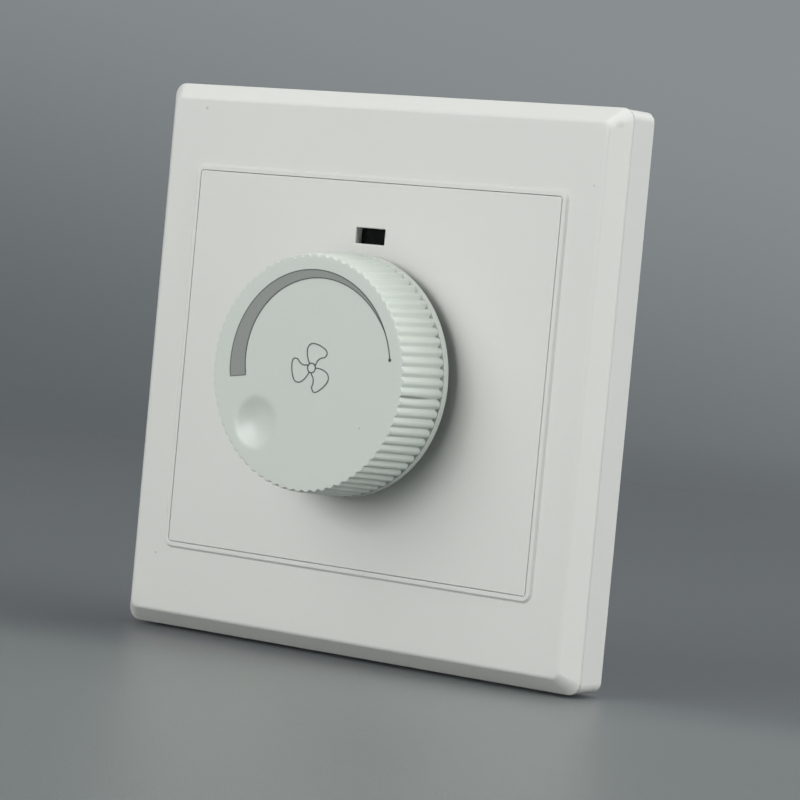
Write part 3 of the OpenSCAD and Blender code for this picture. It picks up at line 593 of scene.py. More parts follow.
def circle(radius: float, steps: int, centre: Point = (0.0, 0.0)) -> list[Point]:
    """Outline of a circle in straight pieces, anticlockwise from the right, in mm."""
    return arc(radius, (0.0, 2 * math.pi), steps, centre)[:-1]


def round_rect(half_w: float, half_h: float, radius: float, steps: int) -> list[Point]:
    """Outline of a rectangle with round corners, anticlockwise from the right.

    Args:
        half_w: Half its width in mm.
        half_h: Half its height in mm.
        radius: Radius of its corners in mm.
        steps: Straight pieces in a corner's arc.

    Returns:
        Points as X and Z in mm.
    """
    points = []
    for quarter, (sx, sz) in enumerate(((1, 1), (-1, 1), (-1, -1), (1, -1))):
        centre = (sx * (half_w - radius), sz * (half_h - radius))
        span = (quarter * math.pi / 2, (quarter + 1) * math.pi / 2)
        points += arc(radius, span, steps, centre)
    return points


def soften(corners: Sequence[tuple[float, float, float]], steps: int) -> list[Point]:
    """Rounds the inner corners of an open profile.

    Args:
        corners: Offset, depth and radius of each corner in mm. The radius of the two ends is unused.
        steps: Straight pieces in an arc.

    Returns:
        The profile's points as offset and depth in mm.
    """
    points = [corners[0][:2]]
    for before, (x, d, radius), after in zip(corners, corners[1:], corners[2:]):
        if radius <= 0:
            points.append((x, d))
            continue
        corner = Vector((x, d))
        back = (Vector(before[:2]) - corner).normalized()
        ahead = (Vector(after[:2]) - corner).normalized()
        reach = radius / math.tan(back.angle(ahead) / 2)
        start, end = corner + back * reach, corner + ahead * reach
        for step in range(steps + 1):
            t = step / steps
            points.append(tuple(start * (1 - t) ** 2 + corner * 2 * t * (1 - t) + end * t**2))
    points.append(corners[-1][:2])
    return points


def smooth_curve(points: Sequence[Point], steps: int = 8) -> list[Point]:
    """Runs a smooth open curve through points.

    Args:
        points: X and Z of each point in mm.
        steps: Straight pieces between two points.

    Returns:
        The curve's points.
    """
    ends = [Vector(point) for point in (points[0], *points, points[-1])]
    curve = []
    for a, b, c, d in zip(ends, ends[1:], ends[2:], ends[3:]):
        for step in range(steps):
            t = step / steps
            spot = 2 * b + (c - a) * t + (2 * a - 5 * b + 4 * c - d) * t**2
            curve.append(tuple((spot + (3 * b - a - 3 * c + d) * t**3) / 2))
    return curve + [tuple(points[-1])]


# Meshes


def new_object(name: str, data: bpy.types.ID) -> bpy.types.Object:
    """Adds an object to the scene.

    Args:
        name: Name of the object.
        data: Its mesh, lamp or camera.

    Returns:
        The object.
    """
    made = bpy.data.objects.new(name, data)
    bpy.context.scene.collection.objects.link(made)
    return made


class MeshWork:
    """Mesh of one piece while it is made, with sizes in millimetres."""

    smooth_deg = 34.0

    def __init__(self) -> None:
        """Starts with no faces."""
        self.bm = bmesh.new()

    def ring(self, points: Sequence[Point], depth: float) -> Ring:
        """Adds a closed ring of points, given as X and Z, at one depth."""
        return [self.bm.verts.new((x * MM, -depth * MM, z * MM)) for x, z in points]

    def bridge(self, first: Ring, second: Ring) -> None:
        """Joins two rings of equally many points with four-sided faces."""
        for a, b, c, d in zip(first, first[1:] + first[:1], second[1:] + second[:1], second):
            self.bm.faces.new((a, b, c, d))

    def loft(self, stations: Sequence[tuple[list[Point], float]]) -> list[Ring]:
        """Joins outlines at several depths to a skin.

        Args:
            stations: Outline and depth of each station.

        Returns:
            The rings, one for each station.
        """
        rings = [self.ring(points, depth) for points, depth in stations]
        for first, second in zip(rings, rings[1:]):
            self.bridge(first, second)
        return rings

    def sweep(self, outline: Callable[[float], list[Point]], profile: Sequence[Point]) -> list[Ring]:
        """Sweeps a profile of offsets and depths round an outline that takes an offset."""
        return self.loft([(outline(offset), depth) for offset, depth in profile])

    def cap(self, *rings: Ring) -> None:
        """Fills the flat area that lies between rings, or inside a single one.

        Args:
            *rings: The outer ring, and one for each hole.
        """
        edges = []
        for ring in rings:
            for a, b in zip(ring, ring[1:] + ring[:1]):
                edges.append(self.bm.edges.get((a, b)) or self.bm.edges.new((a, b)))
        bmesh.ops.triangle_fill(
            self.bm, use_beauty=True, use_dissolve=False, edges=edges, normal=(0, -1, 0)
        )

    def prism(self, outer: Sequence[Point], depth0: float, depth1: float, *holes: list[Point]) -> None:
        """Adds a straight solid between two depths.

        Args:
            outer: Its outline as X and Z.
            depth0: Its rear depth.
            depth1: Its front depth.
            *holes: Outlines of holes that go through it.
        """
        skins = [self.loft([(points, depth0), (points, depth1)]) for points in (outer, *holes)]
        for caps in zip(*skins):
            self.cap(*caps)

    def bar(self, profile: Sequence[Point], width: float, spin_deg: float, shift: float = 0.0) -> None:
        """Adds a straight bar with a profile across the depth, such as a hook or a rib.

        Args:
            profile: Distance from the axis and depth of each corner.
            width: Width of the bar.
            spin_deg: Direction in which the bar points, anticlockwise from the right.
            shift: Shift of the bar across that direction.
        """
        turn = Matrix.Rotation(math.radians(-spin_deg), 4, "Y")
        ends = []
        for side in (shift - width / 2, shift + width / 2):
            corners = [Vector((out * MM, -depth * MM, side * MM)) for out, depth in profile]
            ends.append([self.bm.verts.new(turn @ corner) for corner in corners])
            self.bm.faces.new(ends[-1])
        self.bridge(*ends)

    def line(
        self, path: Sequence[Point], width: float, depth0: float, depth1: float, closed: bool = False
    ) -> None:
        """Adds a printed line along a path.

        Args:
            path: X and Z of each point.
            width: Width of the line.
            depth0: Its rear depth.
            depth1: Its front depth.
            closed: Whether the path's end joins its start.
        """
        spots = [Vector(point) for point in path]
        around = [spots[-1], *spots, spots[0]] if closed else [spots[0], *spots, spots[-1]]
        stations = []
        for before, spot, after in zip(around, spots, around[2:]):
            side = (after - before).normalized().orthogonal() * width / 2
            left, right = spot - side, spot + side
            stations.append(self.ring((left, right), depth0) + self.ring((right, left), depth1))
        for first, second in zip(stations, stations[1:]):
            self.bridge(first, second)
        if closed:
            self.bridge(stations[-1], stations[0])
            return
        for end in (stations[0], stations[-1]):
            self.bm.faces.new(end)

    def finish(self, name: str, body: Body, slot: Slot, look: Finish, *nodes: str) -> bpy.types.Object:
        """Turns the mesh into a piece of the control, smooths it and fixes it to its body.

        Args:
            name: Name of the piece.
            body: Body that it rides on.
            slot: Material slot of the record. It is not used.
            look: Its finish.
            *nodes: CAD nodes that it stands for.

        Returns:
            The piece.
        """
        bmesh.ops.recalc_face_normals(self.bm, faces=self.bm.faces)
        mesh = bpy.data.meshes.new(name)
        self.bm.to_mesh(mesh)
        self.bm.free()
        mesh.polygons.foreach_set("use_smooth", [True] * len(mesh.polygons))
        mesh.set_sharp_from_angle(angle=math.radians(self.smooth_deg))
        mesh.materials.append(look.material())
        piece = new_object(name, mesh)
        level = piece.modifiers.new("flat_faces_stay_flat", "WEIGHTED_NORMAL")
        level.keep_sharp = True
        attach(piece, body.value)
        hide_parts(*nodes)
        return piece


# Pieces


@dataclass(frozen=True)
class Hook:
    """Snap hook that reaches back through the mounting frame.

    Attributes:
        width: Its width.
        thickness: Thickness of its leg.
        barb: How far its barb stands out.
        barb_h: Height of the barb.
        web_depth: Depth of the frame's web that the barb catches behind.
        gap: Clearance between barb and web.
        root: How far the leg reaches into the part that carries it.
    """

    width: float = 7.0
    thickness: float = 1.3
    barb: float = 0.5
    barb_h: float = 1.2
    web_depth: float = 3.5
    gap: float = 0.1
    root: float = 0.1

    def build(self, work: MeshWork, out: float, back_d: float, sides: Span, shift: float) -> None:
        """Adds four hooks to the part that carries them, two on each of two sides.

        Args:
            work: Mesh of that part.
            out: Distance of the hooks' outer faces from the axis.
            back_d: Depth of the part's back.
            sides: Directions of the two sides in degrees, anticlockwise from the right.
            shift: Distance of the hooks from the middle of their side.
        """
        top, tip, inner = back_d + self.root, self.web_depth - self.gap, out - self.thickness
        low = tip - self.barb_h
        profile = [(out, top), (out, tip), (out + self.barb, tip), (out, low), (inner, low), (inner, top)]
        for side in sides:
            for across in (-shift, shift):
                work.bar(profile, self.width, side, across)


@dataclass
class Cover:
    """Square cover with a bevelled edge and a raised strip round its opening.

    Attributes:
        corner_r: Corner radius at the seam.
        bevel_r: Corner radius at the top of the bevel.
        arc_n: Straight pieces in a corner's arc.
        edge_h: Height of the straight edge below the bevel.
        bevel_w: Width of the bevel.
        bevel_h: Height of the bevel.
        wall: Wall of the cover.
        low_soft: Radius of the bevel's lower edge.
        top_soft: Radius of the bevel's upper edge.
        flat_run: Width of the flat ring beside the bevel, and beside the strip.
        strip_w: Width of the raised strip.
        strip_h: Height of the raised strip.
        strip_run: Width of the slope on the strip's outer side.
        fine: Radius of the strip's edges and of the edge at the seam.
        sharp: Radius of the edge at the centre panel.
        gap: Gap between the strip and the centre panel.
        open_r: Corner radius of the opening.
        skirt: Wall behind the opening's edge.
        skirt_h: How far that wall reaches behind the cover's seam.
        frame_wall: Wall of the mounting frame's rim, which the hooks pass inside.
        frame_room: Room between that wall and the barbs.
        hook_x: Distance of the hooks from the middle, to each side.
        hook: Snap hooks above and below the opening.
    """

    corner_r: float = 2.0
    bevel_r: float = 1.2
    arc_n: int = 10
    edge_h: float = 0.15
    bevel_w: float = 2.35
    bevel_h: float = 2.65
    wall: float = 1.5
    low_soft: float = 0.45
    top_soft: float = 0.8
    flat_run: float = 1.0
    strip_w: float = 1.0
    strip_h: float = 0.35
    strip_run: float = 0.35
    fine: float = 0.13
    sharp: float = 0.06
    gap: float = 0.07
    open_r: float = 0.65
    skirt: float = 1.2
    skirt_h: float = 0.15
    frame_wall: float = 1.6
    frame_room: float = 0.9
    hook_x: float = 22.0
    hook: Hook = Hook(root=0.07)

    def square(self, inset: float) -> list[Point]:
        """Outline of the square cover at an inset from its edge.

        Args:
            inset: The inset in mm.

        Returns:
            Points as X and Z in mm.
        """
        half = box_mm("front_cover")[1].x - inset
        radius = self.corner_r + (self.bevel_r - self.corner_r) * min(inset / self.bevel_w, 1)
        return round_rect(half, half, radius, self.arc_n)

    def opening(self, offset: float) -> list[Point]:
        """Outline of the opening, grown by an offset.

        Args:
            offset: The offset in mm.

        Returns:
            Points as X and Z in mm.
        """
        panel, grown = box_mm("centre_panel")[1], self.gap + offset
        return round_rect(panel.x + grown, panel.z + grown, self.open_r + offset, self.arc_n)

    def build(self) -> bpy.types.Object:
        """Builds the cover in place of its CAD node.

        Returns:
            The cover.
        """
        strip_d = -box_mm("front_cover")[0].y
        face_d = strip_d - self.strip_h
        seam_d = face_d - self.bevel_h - self.edge_h
        rear_d, back_d = seam_d - self.skirt_h, face_d - self.wall
        work = MeshWork()
        bevel = [
            (self.wall, seam_d, 0),
            (0, seam_d, self.fine),
            (0, seam_d + self.edge_h, self.low_soft),
            (self.bevel_w, face_d, self.top_soft),
            (self.bevel_w + self.flat_run, face_d, 0),
        ]
        strip = [
            (self.strip_w + self.flat_run, face_d, 0),
            (self.strip_w, face_d, self.fine),
            (self.strip_w - self.strip_run, strip_d, self.fine),
            (0, strip_d, self.sharp),
            (0, rear_d, 0),
            (self.skirt, rear_d, 0),
            (self.skirt, back_d, 0),
        ]
        behind = [(self.wall + self.bevel_w, back_d), (self.wall, seam_d + self.fine)]
        outer = work.sweep(self.square, soften(bevel, steps=5))
        inner = work.sweep(self.opening, soften(strip, steps=3))
        under = work.sweep(self.square, behind)
        for first, second in ((outer[-1], inner[0]), (inner[-1], under[0]), (under[-1], outer[0])):
            work.bridge(first, second)
        out = box_mm("mounting_frame")[1].z - self.frame_wall - self.frame_room - self.hook.barb
        self.hook.build(work, out, back_d, (90, 270), self.hook_x)
        return work.finish("cover_shell", Body.BASE, Slot.COVER, PLATE_PLASTIC, "front_cover")


@dataclass
class CentrePanel:
    """Panel inside the cover, with the indicator window and the hole round the nut.

    Attributes:
        thickness: Thickness of the panel.
        corner_r: Corner radius of the panel.
        inner_r: Smallest corner radius on its inner side.
        edge: Radius of its front edge.
        land: Width of the flat ring of points inside that edge.
        skirt: Wall of its skirt.
        window_w: Width of the window.
        window_h: Height of the window.
        window_z: Height of the window above the knob's axis.
        window_r: Corner radius of the window.
        window_edge: Radius of the front edge of the window and of the hole.
        hole_r: Radius of the hole round the nut.
        rear_depth: Depth at which the skirt rests on the frame.
        hook_z: Distance of the hooks above and below the middle.
        cradle: Height of the two ribs that hold the lens.
        cradle_t: Thickness of those ribs.
        cradle_gap: Distance from the window to those ribs.
        cradle_over: How far they reach past the window's ends.
        hook: Snap hooks on the left and the right.
    """

    thickness: float = 1.5
    corner_r: float = 0.5
    inner_r: float = 0.1
    edge: float = 0.12
    land: float = 1.0
    skirt: float = 1.2
    window_w: float = 5.4
    window_h: float = 2.4
    window_z: float = 21.2
    window_r: float = 0.12
    window_edge: float = 0.2
    hole_r: float = 6.4
    rear_depth: float = 5.7
    hook_z: float = 18.0
    cradle: float = 0.75
    cradle_t: float = 0.6
    cradle_gap: float = 1.1
    cradle_over: float = 1.0
    hook: Hook = Hook()

    def panel(self, inset: float) -> list[Point]:
        """Outline of the panel at an inset from its edge."""
        high, radius = box_mm("centre_panel")[1], max(self.corner_r - inset, self.inner_r)
        return round_rect(high.x - inset, high.z - inset, radius, steps=6)

    def window(self, offset: float) -> list[Point]:
        """Outline of the window, grown by an offset."""
        wide, high, radius = self.window_w / 2 + offset, self.window_h / 2 + offset, self.window_r + offset
        return [(x, z + self.window_z) for x, z in round_rect(wide, high, radius, steps=4)]

    def hole(self, offset: float) -> list[Point]:
        """Outline of the hole round the nut, grown by an offset."""
        return circle(self.hole_r + offset, steps=64)

    def build(self) -> bpy.types.Object:
        """Builds the panel in place of its CAD node.

        Returns:
            The panel.
        """
        low, high = box_mm("centre_panel")
        front, side_x = -low.y, high.x
        back = front - self.thickness
        work = MeshWork()
        shell = [
            (self.land, front, 0),
            (0, front, self.edge),
            (0, self.rear_depth, 0),
            (self.skirt, self.rear_depth, 0),
            (self.skirt, back, 0),
        ]
        rim = soften([(self.land, front, 0), (0, front, self.window_edge), (0, back, 0)], steps=3)[1:]
        sides = work.sweep(self.panel, soften(shell, steps=4))
        openings = [work.sweep(outline, rim) for outline in (self.window, self.hole)]
        work.cap(sides[0], *(rings[0] for rings in openings))
        work.cap(sides[-1], *(rings[-1] for rings in openings))
        reach = self.window_w / 2 + self.cradle_over
        for sign in (-1, 1):
            start = self.window_z + sign * (self.window_h / 2 + self.cradle_gap)
            low_z, high_z = sorted((start, start + sign * self.cradle_t))
            rib = [(-reach, low_z), (reach, low_z), (reach, high_z), (-reach, high_z)]
            work.prism(rib, back - self.cradle, back + self.hook.root)
        out = side_x - self.skirt - self.hook.barb
        self.hook.build(work, out, back, (0, 180), self.hook_z)
        return work.finish("panel_shell", Body.BASE, Slot.COVER, PLATE_PLASTIC, "centre_panel")


@dataclass
class Knob:
    """Ridged rotary knob with a smooth ring, a finger dimple and a split hub.

    Attributes:
        ridge_n: Number of ridges.
        samples: Points across one ridge.
        ridge_h: Depth of the grooves.
        least_h: Least depth of a groove, where the ridges are cut at the front.
        ridge_rise: Share of a ridge's pitch that one flank takes.
        ridge_turn: Share of a pitch by which the first groove stands off the right.
        ridge_soft: Share of a pitch over which tops and groove bottoms are rounded.
        ridge_r: Radius over the ridges at the ring.
        face_r: Radius over the ridges at the face.
        ring_h: Height of the smooth ring.
        ring_soft: Radius of the ring's rear edge.
        land: Width of the flats beside rounded edges, which only give the arcs their direction.
        front_cut: Chamfer at the front ends of the ridges.
        front_soft: Radius of that chamfer's edges.
        flat_in: Distance from the grooves to the ring of points that ends the flat face.
        notch_h: Extra depth of the notch at the rear end of each groove.
        notch_l: Length of that notch.
        notch_w: Share of a pitch that the notch takes.
        hub_step: How far the hub stands out behind the ring.
        hollow_r: Radius of the hollow behind the face.
        face_t: Thickness of the face.
        hub_r: Radius of the hub.
        shaft_r: Radius of the hub's bore.
        flat_x: Distance from the axis to the bore's flat.
        slit: Width of the hub's slit.
        slit_d: Depth of the hub's slit.
        rib_t: Thickness of the four ribs.
        rib_deg: Direction of the first rib, anticlockwise from the right.
        rib_in: Distance of the ribs from the hub's end.
        rib_lap: How far a rib reaches into hub and wall.
        dimple_r: Radius of the dimple.
        dimple_h: Depth of the dimple.
        dimple_soft: Radius of the dimple's rim.
        dimple_at: Distance of the dimple from the axis.
        dimple_deg: Direction of the dimple, anticlockwise from the right.
        dimple_n: Rings of points in the dimple.
        dimple_crowd: How much closer those rings lie at the rim; 1 is even.
    """

    ridge_n: int = 72
    samples: int = 14
    ridge_h: float = 0.4
    least_h: float = 0.05
    ridge_rise: float = 0.36
    ridge_turn: float = 0.68
    ridge_soft: float = 0.05
    ridge_r: float = 18.42
    face_r: float = 17.8
    ring_h: float = 1.3
    ring_soft: float = 0.2
    land: float = 1.0
    front_cut: float = 0.15
    front_soft: float = 0.08
    flat_in: float = 0.1
    notch_h: float = 0.35
    notch_l: float = 0.35
    notch_w: float = 0.15
    hub_step: float = 1.15
    hollow_r: float = 16.2
    face_t: float = 2.2
    hub_r: float = 4.6
    shaft_r: float = 3.03
    flat_x: float = 1.53
    slit: float = 0.8
    slit_d: float = 3.0
    rib_t: float = 1.2
    rib_deg: float = 45.0
    rib_in: float = 2.0
    rib_lap: float = 0.2
    dimple_r: float = 3.7
    dimple_h: float = 0.95
    dimple_soft: float = 0.8
    dimple_at: float = 12.0
    dimple_deg: float = 223.0
    dimple_n: int = 12
    dimple_crowd: float = 1.4

    def groove(self, share: float) -> float:
        """Depth of the groove at a place across one pitch.

        Args:
            share: Place from 0 to 1, where 0 and 1 are the groove's bottom.

        Returns:
            The depth as a share of the full depth.
        """
        away = min(share, 1 - share)
        bend = self.ridge_soft / self.ridge_rise
        if away > self.ridge_rise - self.ridge_soft:
            left = min(1.0, (away - self.ridge_rise + self.ridge_soft) / (2 * self.ridge_soft))
            return bend * (1 - left) ** 2
        if away < self.ridge_soft:
            return 1 - bend / 2 - bend / 2 * (away / self.ridge_soft) ** 2
        return 1 - away / self.ridge_rise

    def ridged(self, crest: float, base: float, notch: float = 0.0) -> list[Point]:
        """Outline over the ridges and through the grooves.

        Args:
            crest: Radius over the ridges.
            base: Radius in the bottom of the grooves.
            notch: Extra depth in the middle of the grooves.

        Returns:
            Points as X and Z in mm.
        """
        points = []
        for ridge in range(self.ridge_n):
            for sample in range(self.samples):
                share = sample / self.samples
                r = crest - (crest - base) * self.groove(share)
                r -= notch * (min(share, 1 - share) < self.notch_w / 2)
                points.append(polar(r, 2 * math.pi * (ridge + self.ridge_turn + share) / self.ridge_n))
        return points

    def bowl(self, away: float) -> float:
        """Depth of the dimple below the face.

        Args:
            away: Distance from the dimple's middle.

        Returns:
            The depth in mm.
        """
        ball = (self.dimple_r**2 + self.dimple_h**2) / (2 * self.dimple_h)
        sphere = math.sqrt(ball**2 - away**2) - (ball - self.dimple_h)
        return (sphere + math.sqrt(sphere**2 + (self.dimple_soft / 4) ** 2)) / 2

    def build(self) -> bpy.types.Object:
        """Builds the knob in place of its CAD node.

        Returns:
            The knob.
        """
        low, high = box_mm("knob")
        rear, front, ring_r = self.hub_step - high.y, -low.y, high.x
        ring_d = rear + self.ring_h
        work = MeshWork()
        hoop = [
            (ring_r - self.land, rear, 0),
            (ring_r, rear, self.ring_soft),
            (ring_r, ring_d, 0),
            (ring_r - self.land, ring_d, 0),
        ]
        ring = work.sweep(lambda radius: circle(radius, steps=288), soften(hoop, steps=4)[1:-1])
        cut_r, cut_d = self.face_r - self.front_cut, front - self.front_cut
        crest = [
            (self.ridge_r, ring_d, 0),
            (self.ridge_r, ring_d + self.notch_l, 0),
            (self.face_r, cut_d, self.front_soft),
            (cut_r, front, self.front_soft),
            (cut_r - self.land, front, 0),
        ]
        stations = []
        for radius, depth in soften(crest, steps=3)[:-1]:
            share = (depth - ring_d) / (front - ring_d)
            base = self.ridge_r + (self.face_r - self.ridge_r) * share - self.ridge_h
            notch = self.notch_h * (depth < ring_d + self.notch_l)
            stations.append((self.ridged(radius, min(base, radius - self.least_h), notch), depth))
        flat_r = cut_r - self.ridge_h - self.flat_in
        stations.append((self.ridged(flat_r, flat_r), front))
        grip = work.loft(stations)
        work.cap(ring[-1], grip[0])
        self.add_face(work, grip[-1], front)
        self.add_hollow(work, ring[0], rear, front - self.face_t)
        return work.finish("knob_cap", Body.KNOB, Slot.KNOB, KNOB_PLASTIC, "knob")

    def add_face(self, work: MeshWork, edge: Ring, front: float) -> None:
        """Adds the face with its dimple.

        Args:
            work: Mesh of the knob.
            edge: Ring at the face's edge.
            front: Depth of the face.
        """
        centre = polar(self.dimple_at, math.radians(self.dimple_deg))
        rim = self.dimple_r + self.dimple_soft
        rest = self.bowl(rim)
        profile = []
        for i in range(self.dimple_n):
            away = rim * (1 - (i / self.dimple_n) ** self.dimple_crowd)
            profile.append((away, front - self.bowl(away) + rest * away / rim))
        bowl = work.sweep(lambda away: circle(away, steps=72, centre=centre), profile)
        bottom = work.ring([centre], front - self.bowl(0))[0]
        last = bowl[-1]
        for a, b in zip(last, last[1:] + last[:1]):
            work.bm.faces.new((a, b, bottom))
        work.cap(edge, bowl[0])

    def add_hollow(self, work: MeshWork, rim: Ring, rear: float, ceiling: float) -> None:
        """Adds the hollow behind the face, the split hub and the ribs.

        Args:
            work: Mesh of the knob.
            rim: Ring at the rear edge.
            rear: Depth of the knob's rear edge.
            ceiling: Depth of the hollow's bottom.
        """
        wall = work.loft([(circle(self.hollow_r, steps=96), depth) for depth in (rear, ceiling)])
        work.cap(rim, wall[0])
        work.cap(wall[-1])
        flat = math.acos(self.flat_x / self.shaft_r)
        bore = arc(self.shaft_r, (flat, 2 * math.pi - flat), steps=40)
        hub_d = rear - self.hub_step
        work.prism(circle(self.hub_r, steps=64), hub_d + self.slit_d, ceiling, bore)
        for sign in (1, -1):
            work.prism(self.jaw(sign), hub_d, hub_d + self.slit_d)
        start, end, first = self.hub_r - self.rib_lap, self.hollow_r + self.rib_lap, hub_d + self.rib_in
        rib = [(start, first), (end, first), (end, ceiling), (start, ceiling)]
        for quarter in range(4):
            work.bar(rib, self.rib_t, self.rib_deg + 90 * quarter)

    def jaw(self, sign: int) -> list[Point]:
        """Outline of one half of the split hub.

        Args:
            sign: 1 for the upper half and -1 for the lower one.

        Returns:
            Points as X and Z in mm.
        """
        half = self.slit / 2
        out, inner = math.asin(half / self.hub_r), math.asin(half / self.shaft_r)
        flat = math.acos(self.flat_x / self.shaft_r)
        points = arc(self.hub_r, (out, math.pi - out), steps=24)
        points += arc(self.shaft_r, (math.pi - inner, flat), steps=18)
        points.append((self.flat_x, half))
        return [(x, z * sign) for x, z in points]


@dataclass
class DialLines:
    """Lines printed on the knob's face: the tapering scale's outline and tail, and the fan symbol.

    Attributes:
        width: Width of a line.
        centre: Middle of the scale to the right of the knob's axis and above it.
        scale_r: Outer radius of the scale.
        scale_w: Width of the scale where it is widest.
        wide_deg: Direction of the scale's wide end, anticlockwise from the right.
        taper_deg: Direction in which the scale has tapered to a line.
        merge_deg: Turn over which the scale's inner line then joins the outer one.
        tail_deg: Direction in which that line ends.
        dot_r: Radius of the dot there.
        arc_n: Straight pieces in the scale's arcs.
        fan_shift: Shift of the fan symbol from the scale's middle.
        hub_r: Radius of the fan symbol's hub.
        blade: Distance from the hub's middle and direction in degrees of the points that a blade's
            outline runs through, from its leading edge over the tip to its trailing edge.
    """

    width: float = 0.18
    centre: Point = (0.35, 0.55)
    scale_r: float = 14.8
    scale_w: float = 2.8
    wide_deg: float = 189.0
    taper_deg: float = 35.0
    merge_deg: float = 8.0
    tail_deg: float = 10.5
    dot_r: float = 0.26
    arc_n: int = 64
    fan_shift: Point = (0.47, 0.28)
    hub_r: float = 0.72
    blade: tuple[Point, ...] = (
        (0.72, 124),
        (1.5, 121),
        (2.4, 115),
        (3.2, 107),
        (3.65, 94),
        (3.65, 74),
        (3.72, 53),
        (3.6, 42),
        (2.95, 37.5),
        (2.3, 44),
        (1.6, 48),
        (1.05, 40),
        (0.72, 32),
    )

    def scale(self) -> list[Point]:
        """Gives the middle of the line that runs from the dot round the scale.

        Returns:
            Points as X and Z in mm.
        """
        half, taper = self.width / 2, self.wide_deg - self.taper_deg
        rim, inner = [], []
        for step in range(self.arc_n + 1):
            share = step / self.arc_n
            degrees = self.tail_deg + (self.wide_deg - self.tail_deg) * share
            rim.append(polar(self.scale_r + half, math.radians(degrees), self.centre))
            degrees = self.wide_deg - (taper + self.merge_deg) * share
            wide = max(degrees - self.taper_deg, 0) / taper
            merged = max(self.taper_deg - degrees, 0) / self.merge_deg
            radius = self.scale_r - self.scale_w * wide - half + self.width * merged
            inner.append(polar(radius, math.radians(degrees), self.centre))
        return rim + inner

    def build(self) -> bpy.types.Object:
        """Builds the lines in place of their CAD node.

        Returns:
            The lines.
        """
        low, high = box_mm("dial_lines")
        rear, front = -high.y, -low.y
        work = MeshWork()
        outline = self.scale()
        work.line(outline, self.width, rear, front)
        work.prism(circle(self.dot_r, steps=20, centre=outline[0]), rear, front)
        fan = (self.centre[0] + self.fan_shift[0], self.centre[1] + self.fan_shift[1])
        hub = circle(self.hub_r, steps=32, centre=fan)
        work.line(hub, self.width, rear, front, closed=True)
        for spin in range(0, 360, 120):
            points = [polar(r, math.radians(degrees + spin), fan) for r, degrees in self.blade]
            work.line(smooth_curve(points), self.width, rear, front)
        return work.finish("dial_printing", Body.KNOB, Slot.LINES, LINE_INK, "dial_lines")


@dataclass
class SoftEdgedPart:
    """Moulded part that follows its CAD node, with the small edge radius that a mould leaves.

    Attributes:
        node: CAD node that it follows and stands for.
        name: Name of the piece.
        slot: Material slot of the record.
        look: Its finish.
        edge: Radius of its edges.
        weld: Distance within which the node's points are one.
        flat_deg: Turn below which the node's faces are one flat face.
        sharp: Least turn of an edge that is rounded, in radians.
    """

    node: str
    name: str
    slot: Slot
    look: Finish
    edge: float
    weld: float = 0.002
    flat_deg: float = 1.0
    sharp: float = 0.6

    def build(self) -> bpy.types.Object:
        """Builds the part in place of its CAD node.

        Returns:
            The part.
        """
        work = MeshWork()
        bm = work.bm
        bm.from_mesh(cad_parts[self.node].data)
        bmesh.ops.remove_doubles(bm, verts=bm.verts, dist=self.weld * MM)
        flat = math.radians(self.flat_deg)
        bmesh.ops.dissolve_limit(bm, angle_limit=flat, verts=bm.verts, edges=bm.edges)
        bmesh.ops.bevel(
            bm,
            geom=[e for e in bm.edges if len(e.link_faces) == 2 and e.calc_face_angle() > self.sharp],
            offset=self.edge * MM,
            offset_type="OFFSET",
            segments=2,
            profile=0.5,
            affect="EDGES",
            clamp_overlap=False,
        )
        return work.finish(self.name, Body.BASE, self.slot, self.look, self.node)


# Studio


@dataclass
class SoftLight:
    """Square lamp behind a diffuser.

    Attributes:
        name: Its name.
        place: Its place in metres. It faces the frame's origin.
        side: Side of its square in metres.
        power: Its power in watts.
    """

    name: str
    place: Place
    side: float
    power: float

    def build(self) -> bpy.types.Object:
        """Builds the lamp.

        Returns:
            The lamp's object.
        """
        data = bpy.data.lights.new(self.name, "AREA")
        data.size = self.side
        data.energy = self.power
        lamp = new_object(self.name, data)
        lamp.location = self.place
        lamp.rotation_euler = Vector(self.place).to_track_quat("Z", "Y").to_euler()
        lamp.visible_camera = False
        return lamp


